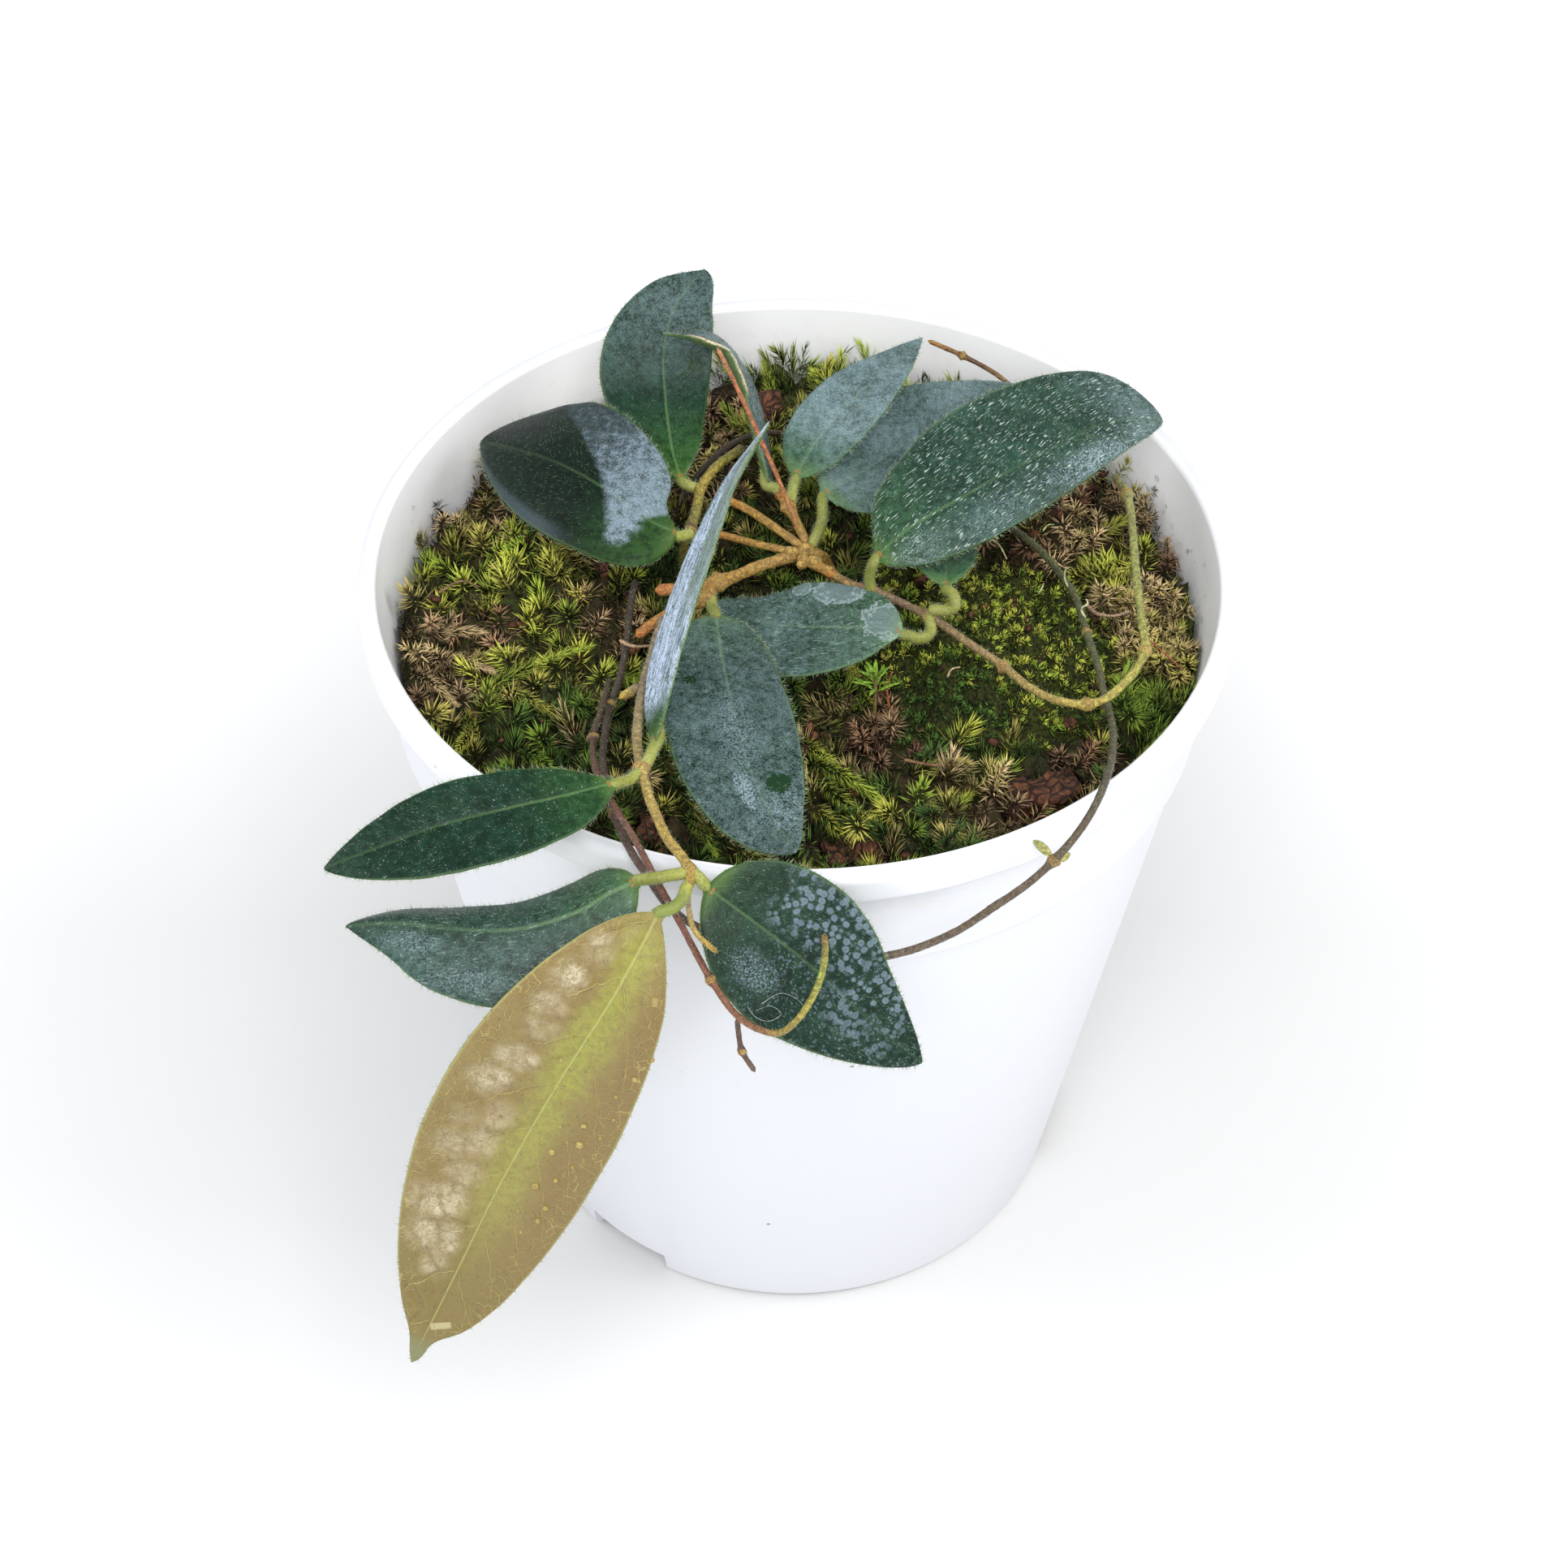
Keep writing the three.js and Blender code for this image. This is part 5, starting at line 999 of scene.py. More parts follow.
def leaf_marks(shader, look, colour, rough, x, along, edge, flat, fine, grain):
    """Marks that only some leaves carry."""
    if look.get("streaks"):
        lines = shader.clouds(shader.joined(x * 1.7 + fine * 0.6, along * 0.2), 1.0, 5, 0.7)
        face = along.step(2.5, 9)
        colour = shader.layers(
            colour,
            (lines.step(0.5, 0.62) * 0.6 * face, (0.5, 0.58, 0.7)),
            (lines.step(0.51, 0.4) * 0.9 * face, (0.11, 0.155, 0.2)),
            (lines.step(0.42, 0.33) * 0.7 * face, (0.035, 0.06, 0.05)),
            (x.step(0.9, 1.8) * along.step(12, 24) * 0.6, (0.09, 0.14, 0.05)),
        )
    if look.get("dashes"):
        lines = shader.clouds(shader.joined(x * 5.0 + along * 0.8 + fine * 1.6, along * 0.75), 1.0, 2, 0.5)
        strength = lines.step(0.6, 0.67) * shader.clouds(flat, 0.24, 3).step(0.36, 0.52)
        colour = shader.mix(strength * look["dashes"] * 0.8, colour, (0.46, 0.54, 0.52))
    if look.get("film"):
        wobble = (fine - 0.5) * 3.0 + (grain - 0.5) * 1.2
        far = x * 1.25 + x * x * 0.055 + 13.0 + wobble * 0.4 - along
        near = along - 4.8 + x.most(0.0) * 1.3 - (-4.6 - x).most(0.0) * 1.2 + wobble
        film = far.step(-0.5, 1.6) * near.step(-0.2, 1.6)
        thick = grain * 0.5 + fine * 0.5 + along.step(27, 6) * 0.2 - 0.13
        colour = shader.mix(film * (thick.step(0.37, 0.66) * 0.76 + 0.12), colour, (0.2, 0.265, 0.32))
        crumbs = shader.clouds(flat, 2.6, 3, 0.7).step(0.58, 0.66) * film * along.step(24, 8)
        colour = shader.mix(crumbs * 0.6, colour, (0.4, 0.47, 0.52))
        # A painted bluish-grey sheen along the leaf's edge.
        painted_edge_sheen = edge.step(0.74, 0.9) * along.step(10, 18) * (x.step(1.0, -1.0) + along.step(30, 36)).least(1.0)
        colour = shader.mix(painted_edge_sheen * 0.2, colour, (0.17, 0.23, 0.28))
        rough = rough + film * 0.2
    if look.get("spots"):
        cluster = shader.clouds(flat, 0.2, 2).step(0.34, 0.46) * along.step(33, 29) * along.step(6, 9)
        cluster = cluster * (x.step(-0.5, -2.5) + along.step(18, 22) * x.step(4.5, 2.5) * 0.7).least(1.0)
        ring = shader.cells(flat, 1.05)
        colour = shader.mix(ring.step(0.58, 0.3) * cluster * 0.62, colour, (0.14, 0.19, 0.24))
        colour = shader.mix(abs(ring - 0.36).step(0.13, 0.03) * cluster * fine.step(0.36, 0.52) * 0.24, colour,
                            (0.24, 0.31, 0.35))
        small = shader.cells(flat, 1.9).step(0.4, 0.26) * along.step(7, 14) * fine.step(0.42, 0.52)
        colour = shader.mix(small * 0.4, colour, (0.14, 0.19, 0.23))
    if look.get("torn"):
        rim = edge.step(0.7, 0.8) * x.step(0.0, -0.5) * along.step(13, 16) * along.step(27.5, 25)
        colour = shader.layers(
            colour,
            (rim, (0.2, 0.1, 0.04)),
            (rim * edge.step(0.8, 0.88) * grain.step(0.38, 0.5), (0.8, 0.66, 0.48)),
        )
    for side, down, wide, long in look.get("marks", ()):
        reach = ((x - side) / wide) ** 2.0 + ((along - down) / long) ** 2.0 + (fine - 0.5) * 3.6 + (grain - 0.5)
        colour = shader.layers(
            colour,
            (reach.step(1.0, 0.9) * 0.55, (0.18, 0.25, 0.265)),
            (abs(reach - 1.0).step(0.28, 0.08) * 0.6, (0.36, 0.44, 0.46)),
        )
    for side, down, radius in look.get("wet", ()):
        wet = (away_from(x, along, side, down) + (fine - 0.5) * 1.6 + (grain - 0.5)).step(radius, radius * 0.8)
        colour = shader.mix(wet, colour, (0.006, 0.03, 0.01))
        rough = rough - wet * 0.2
    return colour, rough


def bronze_material(name, settings):
    """A young leaf: bronze with a yellow-green heart, pale veins, puckered fields and a net at its edge; painted
    highlights on the fields and painted shade in the creases between them.
    """
    shader = Shader(name)
    x, along, phase = shader.parts(shader.kept("blade"))
    edge, upper, stalk = shader.parts(shader.kept("zone"))
    gleam, crease_shade, _ = shader.parts(shader.kept("pucker"))
    place = shader.place()
    broad = shader.clouds(place, 0.13, 3, 0.6)
    fine = shader.clouds(place, 1.1, 4, 0.6)
    grain = shader.clouds(place, 5.0, 3, 0.65)
    bronze = settings.bronze
    colour = shader.mix(broad.step(0.35, 0.7), bronze, (0.19, 0.132, 0.036))
    colour = shader.mix(x.step(1.0, -3.0) * 0.8, colour, (0.172, 0.116, 0.036))
    near = (abs(x + 0.3) + (broad - 0.5) * 5).step(6.0, 0.5) * along.step(78, 48)
    colour = shader.mix(near * 0.75, colour, (0.24, 0.215, 0.05))
    heart = (abs(x + 0.2) + (fine - 0.5) * 1.6 + (broad - 0.5) * 4).step(4.0, 0.2) * along.step(66, 20)
    colour = shader.layers(
        colour,
        (heart * along.step(0.5, 5) * 0.75, (0.25, 0.265, 0.036)),
        (fine.step(0.44, 0.6) * 0.35, (0.17, 0.115, 0.035)),
        (grain.step(0.48, 0.62) * 0.3, (0.15, 0.105, 0.035)),
        (along.step(46, 64) * 0.7, (0.155, 0.115, 0.03)),
    )
    wander = (shader.clouds(place, 0.35, 2) - 0.5) * 0.35 + (fine - 0.5) * 0.05
    vein = abs((phase + wander).fraction() - 0.5).step(0.478, 0.493) * abs(x).step(0.2, 0.8)
    vein = vein * edge.step(0.95, 0.75)
    bent = shader.joined(x + (fine - 0.5) * 0.9, along + (broad - 0.5) * 4)
    net = shader.cells(bent, 0.66, "DISTANCE_TO_EDGE").step(0.05, 0.015) * edge.step(0.45, 0.8)
    lines = (vein * 0.7).most(net * 0.5)
    # Pale veins and net, then painted shade in the creases between the fields.
    colour = shader.layers(
        colour,
        (lines, (0.38, 0.31, 0.1)),
        (crease_shade * 0.25, (0.16, 0.11, 0.035)),
    )
    # A painted highlight on the raised fields, broken by wrinkles, with more painted shade in the creases inside it.
    wrinkle = shader.clouds(place, 1.5, 4, 0.7, 1.2).step(0.42, 0.56)
    colour = shader.layers(
        colour,
        (crease_shade * gleam.step(0.0, 0.1) * 0.3, (0.2, 0.14, 0.05)),
        (gleam * (0.38 + 0.62 * wrinkle), (0.47, 0.41, 0.28)),
    )
    side, down = x + 1.3, along - 68.4
    flake = abs(side * 0.82 + down * 0.57).step(1.5, 1.35) * abs(down * 0.82 - side * 0.57).step(0.5, 0.4)
    colour = shader.mix(flake * 0.7, colour, (0.42, 0.38, 0.2))
    rib = (abs(x) * (1 + along * 0.01)).step(0.3, 0.08)
    colour = shader.layers(
        colour,
        (rib * 0.55, (0.38, 0.37, 0.12)),
        (edge.step(0.968, 0.99) * 0.6, (0.3, 0.29, 0.1)),
        (along.step(70, 73.5) * 0.7, (0.16, 0.18, 0.09)),
    )
    below = shader.mix(fine.step(0.3, 0.7), (0.26, 0.22, 0.09), (0.32, 0.28, 0.12))
    colour = shader.mix(upper, below, colour)
    stem = shader.mix(along.step(-0.5, -4.0), (0.37, 0.37, 0.07), (0.18, 0.22, 0.04))
    stem = shader.mix(fine.step(0.5, 0.38) * 0.5, stem, (0.08, 0.15, 0.03))
    colour = shader.mix(stalk, colour, stem)
    height = fine * 0.5 + grain * 0.3 - lines * 0.5 - rib * 0.3
    return shader.surface(colour, 0.34, height, 0.25, Specular_IOR_Level=0.4)


# Stems

def colours_along(name, share):
    """The bark colour at each share of a branch."""
    stops = np.array(BARK_COLOURS[name])
    place = np.linspace(0, 1, len(stops))
    return np.stack([np.interp(share, place, stops[:, k]) for k in range(3)], -1)


def add_branch(shape, name, branch, number):
    """One branch with thick nodes and an uneven skin, a little thinner than its solid."""
    usual, swellings, points = branch
    usual = usual * STEM_THICKNESS.get(name, 0.88)
    path, directions, run, share = even_path(points, 0.55 if usual > 0.5 else 0.45)
    random = seeded(f"{name} {number}")
    radius = usual * (1 + 0.06 * ripple(share, number + len(path), 5 + len(path) / 40))
    knot = np.zeros_like(run)
    for index in swellings:
        away = np.linalg.norm(path - np.array(points[index], float), axis=1)
        knot = np.maximum(knot, np.exp(-(away / (usual * 1.15)) ** 2))
        radius = radius * (1 + random.uniform(0.65, 0.95) * np.exp(-(away / (usual * 0.95)) ** 2))
        radius = radius * (1 + 0.12 * np.exp(-((away - usual * 1.5) / 0.35) ** 2))
    lumps = np.sin(3 * round_angles(TUBE_SIDES)[None] + random.uniform(0, 6) + run[:, None] * 0.8) * 0.05
    lumps = lumps + random.normal(0, 0.03, (len(run), TUBE_SIDES))
    radii = rounded_ends(path, radius)[:, None] * (1 + lumps * (1 + 1.5 * knot[:, None]))
    tint = colours_along(name, share)
    growth = np.stack([run, knot, share], -1)
    add_tube(shape, path, directions, radii, TUBE_SIDES, tint=tint, growth=growth)
    if name in STEM_HAIRS:
        hair_tube(f"{name} {number}", path, directions, radius, STEM_HAIRS[name], (0.2, 0.5))


def stem_material(name, rough=0.42):
    """Uneven bark with dark cracks, pale dots and golden corky nodes."""
    shader = Shader(name)
    tint = shader.kept("tint")
    _, knot, _ = shader.parts(shader.kept("growth"))
    place = shader.place()
    broad = shader.clouds(place, 0.5, 3, 0.6)
    fine = shader.clouds(place, 1.7, 4, 0.65)
    grain = shader.clouds(place, 5.0, 3, 0.7)
    dark = shader.mix(0.75, tint, (0.02, 0.013, 0.008))
    bright = shader.mix(1.0, tint, (1.3, 1.3, 1.25), "MULTIPLY")
    colour = shader.mix(fine.step(0.4, 0.6), shader.mix(0.6, tint, dark), bright)
    colour = shader.layers(
        colour,
        (broad.step(0.54, 0.42) * 0.45, shader.mix(0.4, tint, (0.09, 0.035, 0.012))),
        (grain.step(0.49, 0.38) * 0.75, dark),
    )
    dots = shader.cells(place, 1.6).step(0.22, 0.1)
    colour = shader.mix(dots * 0.5, colour, (0.55, 0.43, 0.2))
    cork = shader.mix(grain.step(0.4, 0.62), (0.22, 0.12, 0.03), (0.54, 0.36, 0.1))
    colour = shader.mix(knot.step(0.3, 0.8) * fine.step(0.3, 0.5) * 0.85, colour, cork)
    return shader.surface(colour, rough, fine * 0.7 + grain * 0.5 + dots * 0.4, 0.4, Specular_IOR_Level=0.4)


def add_scale(shape, root, direction, up, length, width, tint, curl=0.0, thick=0.22):
    """A small pointed scale or leaflet, curling towards its upper side."""
    rows, sides = 9, 8
    share = np.linspace(0, 1, rows)
    direction = unit(np.array(direction, float))
    up = np.array(up, float)
    up = unit(up - direction * up.dot(direction))
    right = np.cross(direction, up)
    turn = curl * share
    forward = direction[None] * np.cos(turn)[:, None] + up[None] * np.sin(turn)[:, None]
    centre = np.array(root, float) + np.cumsum(forward, axis=0) * length / rows
    above = np.cross(right[None], forward)
    half = width / 2 * np.sin(np.pi * np.clip(share * 0.86 + 0.1, 0, 1)) ** 0.8
    angle = round_angles(sides)
    ring = (centre[:, None] + right[None, None] * (half[:, None] * np.cos(angle))[..., None]
            + above[:, None] * (thick * half[:, None] * np.sin(angle) * 1.1)[..., None])
    points = np.concatenate([ring.reshape(-1, 3), centre[:1], centre[-1:]])
    tip = np.concatenate([np.repeat(share, sides), [0, 1]])
    growth = np.stack([tip * length, tip * 0, tip], -1)
    faces = [group[:, ::-1] for group in ring_faces(rows, sides)]
    shape.add(points, faces, tint=tint, growth=growth)


def add_thread(shape, points, radius, tint):
    """A fine thread through the points, thinner to its end."""
    path, directions, run, share = even_path(points, 0.25)
    growth = np.stack([run, run * 0, share], -1)
    tints = np.repeat([tint], len(run), axis=0)
    add_tube(shape, path, directions, rounded_ends(path, radius * (1 - 0.4 * share)), 6, tint=tints, growth=growth)


# Moss

def tops_of(node):
    """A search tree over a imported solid, in millimetres."""
    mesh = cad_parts[node].data
    mesh.calc_loop_triangles()
    points = [vertex.co / MM for vertex in mesh.vertices]
    return BVHTree.FromPolygons(points, [tuple(tri.vertices) for tri in mesh.loop_triangles])


def moss_spots(node, spacing, random):
    """Places on top of a moss solid, on a shaken triangular grid."""
    tree = tops_of(node)
    low, high = (Vector(corner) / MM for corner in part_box(node))
    spots = []
    rows = int((high.y - low.y) / (spacing * 0.866)) + 2
    columns = int((high.x - low.x) / spacing) + 2
    for row in range(rows):
        for column in range(columns):
            x = low.x + (column + 0.5 * (row % 2)) * spacing + random.normal(0, spacing * 0.22)
            y = low.y + row * spacing * 0.866 + random.normal(0, spacing * 0.22)
            hit, normal, _, _ = tree.ray_cast(Vector((x, y, SKY_HEIGHT)), DOWN)
            if hit is not None and normal.z > 0.15:
                spots.append((*hit, *normal))
    return np.array(spots)


def add_shoots(shape, feet, axes, bends, lengths, leaflets, leaf_length, width, opening, curl, tones, random,
               bare=0.15, brightness=1.0):
    """Moss shoots: small pointed leaflets all round an arching stalk."""
    count = len(feet)
    share = bare + (1 - bare) * (np.arange(leaflets) + 0.5) / leaflets
    stalk = lengths[:, None, None] * share[None, :, None]
    roots = feet[:, None] + axes[:, None] * stalk + bends[:, None] * (share ** 2)[None, :, None]
    tangent = unit(axes[:, None] * lengths[:, None, None] + 2 * bends[:, None] * share[None, :, None])
    side, other = square_to(tangent)
    angle = GOLDEN_ANGLE * np.arange(leaflets)[None] + random.uniform(0, 6.3, (count, 1))
    angle = angle + random.normal(0, 0.3, (count, leaflets))
    radial = side * np.cos(angle)[..., None] + other * np.sin(angle)[..., None]
    spread = np.radians(opening[0] + (opening[1] - opening[0]) * share)[None, :, None]
    spread = spread + random.normal(0, 0.14, (count, leaflets, 1))
    direction = tangent * np.cos(spread) + radial * np.sin(spread)
    size = leaf_length * (1 - 0.35 * share ** 3)[None, :] * random.uniform(0.75, 1.2, (count, leaflets))
    size = size[..., None]
    middle = roots + direction * size * 0.42
    ending = unit(direction - curl * tangent)
    tip = middle + ending * size * 0.58
    flat = unit(np.cross(direction, tangent)) * width / 2 * random.uniform(0.8, 1.2, (count, leaflets, 1))
    keel = np.cross(flat, direction) * 0.7
    ring = np.stack([roots, middle - flat + keel * 0.3, middle + flat + keel * 0.3, middle - keel, tip], 2)
    ring = kept_in_pot(ring)
    faces = np.array([(0, 2, 1), (0, 3, 2), (0, 1, 3), (4, 1, 2), (4, 2, 3), (4, 3, 1)])
    total = count * leaflets
    numbers = (np.arange(total) * 5)[:, None, None] + faces[None]
    tone = tones[:, None] + random.normal(0, 0.025, (count, leaflets))
    # Painted shade: leaflets low on the shoot are darker than those near its top, each leaflet darkens towards its
    # foot, and brightness carries the painted shade of layers and hollows.
    light = np.broadcast_to(0.45 + 0.55 * share[None], (count, leaflets))
    light = light * random.uniform(0.75, 1.0, (count, leaflets)) * np.broadcast_to(brightness, count)[:, None]
    across = np.array([0, -0.006, 0.006, 0, 0])
    reach = np.array([0.04, 0.5, 0.5, 0.4, 1.0])
    uv = np.zeros((count, leaflets, 5, 3))
    uv[..., 0] = np.clip(tone[..., None] + across, 0.005, 0.995)
    uv[..., 1] = np.clip(light[..., None] * reach + 0.02, 0.01, 0.99)
    shape.add(ring.reshape(-1, 3), [numbers.reshape(-1, 3)], uv=uv.reshape(-1, 3))


def moss_plan(spots, clump_kind, random):
    """The kind and tone of each shoot, changed inside the patches."""
    kinds = np.array([clump_kind] * len(spots), dtype=object)
    choice = np.array(MOSS_KINDS[clump_kind]["tones"])
    tones = random.choice(choice, len(spots))
    tones = tones + drift(spots, 0.16, 3) * 0.16
    for (x, y), radius, tone, kind in MOSS_PATCHES:
        away = np.hypot(spots[:, 0] - x, spots[:, 1] - y)
        inside = away < radius * random.uniform(0.75, 1.15, len(spots))
        kinds[inside] = kind
        tones[inside] = tone + random.normal(0, 0.05, inside.sum())
    return kinds, np.clip(tones, 0.02, 1.0)


def grow_moss(name, clump_kind, settings):
    """All shoots of one clump as one piece: a lower layer dimmed as painted shade, and bright stars standing over
    it.
    """
    random = seeded(name)
    shape = Shape()
    for layer in MOSS_LAYERS:
        spacing = MOSS_KINDS[clump_kind]["spacing"] * settings.spacing * layer[0]
        spots = moss_spots(name, spacing, random)
        kinds, tones = moss_plan(spots, clump_kind, random)
        for kind in MOSS_KINDS:
            chosen = kinds == kind
            if chosen.any():
                add_layer(shape, kind, layer, spots[chosen], tones[chosen], random, settings)
    return shape


def add_layer(shape, kind, layer, spots, tones, random, settings):
    """One layer of shoots of one kind."""
    recipe = MOSS_KINDS[kind]
    spread, size, share, brightness, lift = layer
    count = len(spots)
    feet = spots[:, :3] + [0, 0, -1.0]
    hills = drift(feet, 0.33, 8)
    feet[:, 2] = feet[:, 2] + lift + random.normal(0, 0.3, count) + hills * recipe.get("hills", 0.4)
    # Painted light and shade: shoots whose feet sit in hollows of the clump come out darker, those on humps
    # brighter; the lower layer may go darker still.
    brightness = brightness * recipe.get("glow", 1.0) * np.clip(1 + 1.7 * hills, 0.34 + 0.26 * (lift > 0), 1.5)
    upright = 0.5 + 0.5 * (spread > 1)
    axes = unit(spots[:, 3:] * 0.8 + [0, 0, upright] + random.normal(0, recipe["lean"], (count, 3)) * [1, 1, 0.3])
    lengths = recipe["height"] * random.uniform(0.7, 1.3, count) * size
    droop = random.normal(0, 0.3, (count, 3)) * lengths[:, None] - [0, 0, 0.2]
    leaflets = max(6, int(recipe["leaflets"] * share))
    add_shoots(shape, feet, axes, droop, lengths, leaflets, recipe["length"] * size * settings.leaflet,
               recipe["width"] * size, recipe["opening"], recipe["curl"], tones, random, brightness=brightness)


def add_fronds(shape, trees):
    """Long feathery shoots laid over the clumps."""
    random = seeded("fronds")
    for foot, tip, tone, leaf_length in MOSS_FRONDS:
        heights = [ray_height(trees, *place) for place in (foot, tip)]
        if None in heights:
            continue
        start = np.array([*foot, heights[0] + 0.8])
        end = np.array([*tip, heights[1] + 2.2])
        reach = end - start
        length = float(np.linalg.norm(reach))
        lift = np.array([0, 0, length * 0.28])
        axis = unit(reach + lift)
        bend = reach - axis * length
        count = int(length * 22)
        add_shoots(shape, start[None], axis[None], bend[None], np.array([length]), count, leaf_length, 0.24,
                   (62, 14), -0.25, np.array([tone]), random, bare=0.02, brightness=1.1)


def add_crumbs(shape, trees, count):
    """Small angular crumbs of bark lying between the shoots."""
    random = seeded("crumbs")
    points, faces = ball(1)
    for _ in range(count):
        turn, reach = random.uniform(0, 2 * np.pi), 52 * random.random() ** 0.6
        x, y = reach * math.cos(turn), reach * math.sin(turn)
        height = ray_height(trees, x, y)
        if height is None:
            continue
        size = random.uniform(0.3, 1.15) * random.uniform(0.5, 1.3, 3)
        skewed = points * random.uniform(0.7, 1.3, (len(points), 1)) * size
        angles = random.uniform(0, 6.3, 3)
        tilt = np.array(Matrix.Rotation(angles[0], 3, "X") @ Matrix.Rotation(angles[1], 3, "Y"))
        shape.add(kept_in_pot(skewed @ tilt.T + [x, y, height + random.uniform(0.4, 2.0)], 0.4), [faces])


def ray_height(trees, x, y):
    """Height of the moss at a place seen from above."""
    for tree in trees:
        hit = tree.ray_cast(Vector((x, y, SKY_HEIGHT)), DOWN)[0]
        if hit is not None:
            return hit.z
    return None


def moss_material(name):
    """Leaflets that go from a dark foot to a bright tip, in the tone kept on each one. The dark foot is partly
    painted shade.
    """
    shader = Shader(name)
    kept = shader.node("ShaderNodeUVMap", {"uv_map": KEPT_MAP}, {})
    tone, tip, _ = shader.parts(kept)
    low = shader.node("ShaderNodeValToRGB", {"stops": MOSS_LOW}, {0: tone})
    high = shader.node("ShaderNodeValToRGB", {"stops": MOSS_HIGH}, {0: tone})
    colour = shader.mix(tip.step(0.08, 0.85), low, high)
    return shader.surface(colour, 0.55, Specular_IOR_Level=0.3)


def floor_material(name, green=0.0):
    """Very dark ground between the shoots, its own colour deepened as painted shade in the gaps; green where moss
    grows close.
    """
    shader = Shader(name)
    place = shader.place()
    broad = shader.clouds(place, 0.12, 3)
    fine = shader.clouds(place, 0.9, 5, 0.65)
    colour = shader.mix(fine.step(0.3, 0.7), (0.009, 0.006, 0.003), (0.05, 0.036, 0.014))
    colour = shader.mix(broad.step(0.45, 0.6) * fine.step(0.4, 0.65), colour, (0.03, 0.055, 0.008))
    grown = shader.mix(shader.clouds(place, 2.0, 3).step(0.38, 0.6), (0.006, 0.009, 0.002), (0.04, 0.048, 0.006))
    colour = shader.mix(green, colour, grown)
    return shader.surface(colour, 0.85, fine, 0.6, Specular_IOR_Level=0.2)


def rough_copy(node, cuts, size, scale, smooth=0):
    """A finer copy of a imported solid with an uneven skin, in metres."""
    made_mesh = bmesh.new()
    made_mesh.from_mesh(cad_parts[node].data)
    bmesh.ops.remove_doubles(made_mesh, verts=made_mesh.verts, dist=0.00002)
    bmesh.ops.subdivide_edges(made_mesh, edges=made_mesh.edges, cuts=cuts, use_grid_fill=True, smooth=smooth)
    made_mesh.normal_update()
    for vertex in made_mesh.verts:
        place = vertex.co / MM * scale
        push = noise.noise(place) + 0.5 * noise.noise(place * 2.3)
        vertex.co += vertex.normal * (push - 0.35) * size * MM
    mesh = bpy.data.meshes.new(node + "_rough")
    made_mesh.to_mesh(mesh)
    made_mesh.free()
    for face in mesh.polygons:
        face.use_smooth = True
    return mesh


# Pot

def turned(shape_profile, sides):
    """A closed turned mesh from radius and height pairs, the first and last on the axis."""
    ring = np.array(shape_profile[1:-1], float)
    angle = round_angles(sides)
    rings = np.stack([ring[:, :1] * np.cos(angle), ring[:, :1] * np.sin(angle),
                      np.repeat(ring[:, 1:], sides, axis=1)], -1)
    ends = [(0, 0, shape_profile[0][1]), (0, 0, shape_profile[-1][1])]
    shape = Shape()
    shape.add(np.concatenate([rings.reshape(-1, 3), ends]), ring_faces(len(ring), sides))
    return shape


def softened(profile, reach):
    """Rounds the corners of a profile with three points for each corner."""
    points = [np.array(point, float) for point in profile]
    smooth = [points[0]]
    for before, corner, after in zip(points, points[1:], points[2:]):
        into, out = before - corner, after - corner
        room = min(reach, np.linalg.norm(into) * 0.42, np.linalg.norm(out) * 0.42)
        start, end = corner + unit(into) * room, corner + unit(out) * room
        for share in (0, 0.33, 0.67, 1):
            bend = (1 - share) ** 2 * start + 2 * share * (1 - share) * corner + share ** 2 * end
            smooth.append(bend)
    smooth.append(points[-1])
    return smooth


def pot_profile():
    """Outside from the middle of the underside to the lip, then inside back down to the floor."""
    lip = POT_HEIGHT - 4.6
    step = 32.0
    return [(0, 0), (39.7, 0), (BASE_RADIUS, 0.8), (BODY_TOP_RADIUS, COLLAR_BOTTOM), (56.3, COLLAR_BOTTOM + 0.6),
            (57.5, lip - 0.6), (59.7, lip), (RIM_RADIUS, lip + 0.5), (RIM_RADIUS, 112.1), (59.2, POT_HEIGHT),
            (57.9, POT_HEIGHT), (RIM_INNER_RADIUS, 112.5), (BODY_TOP_RADIUS - WALL, COLLAR_BOTTOM),
            (float(inner_radius(POCKET_ROOF)), POCKET_ROOF), (step, POCKET_ROOF), (step - 1, FLOOR), (0, FLOOR)]


def cut_away(piece, cutters):
    """Cuts other meshes out of a piece and keeps the result in its mesh."""
    for cutter in cutters:
        tool = piece.modifiers.new("cut", "BOOLEAN")
        tool.object = cutter
        tool.solver = "EXACT"
    bpy.context.view_layer.update()
    graph = bpy.context.evaluated_depsgraph_get()
    result = bpy.data.meshes.new_from_object(piece.evaluated_get(graph))
    piece.modifiers.clear()
    piece.data = result
    for cutter in cutters:
        bpy.data.objects.remove(cutter)


def pocket_cutters():
    """Blocks and round drains in the corner between the wall and the floor."""
    cutters = []
    for degrees in POCKET_ANGLES:
        turn = Matrix.Rotation(math.radians(degrees), 4, "Z")
        block = bmesh.new()
        bmesh.ops.create_cube(block, size=1, matrix=turn @ Matrix.Translation((BASE_RADIUS * MM, 0, 0))
                              @ Matrix.Diagonal((13 * MM, 14 * MM, 8.8 * MM, 1)))
        drain = bmesh.new()
        at = (BASE_RADIUS - 6.5 + DRAIN_RADIUS + 0.6) * MM
        bmesh.ops.create_cone(drain, segments=20, radius1=DRAIN_RADIUS * MM, radius2=DRAIN_RADIUS * MM,
                              depth=20 * MM, cap_ends=True, matrix=turn @ Matrix.Translation((at, 0, 0)))
        for number, source in enumerate((block, drain)):
            mesh = bpy.data.meshes.new(f"cutter_{number}")
            source.to_mesh(mesh)
            source.free()
            cutters.append(put("cutter", mesh))
    return cutters


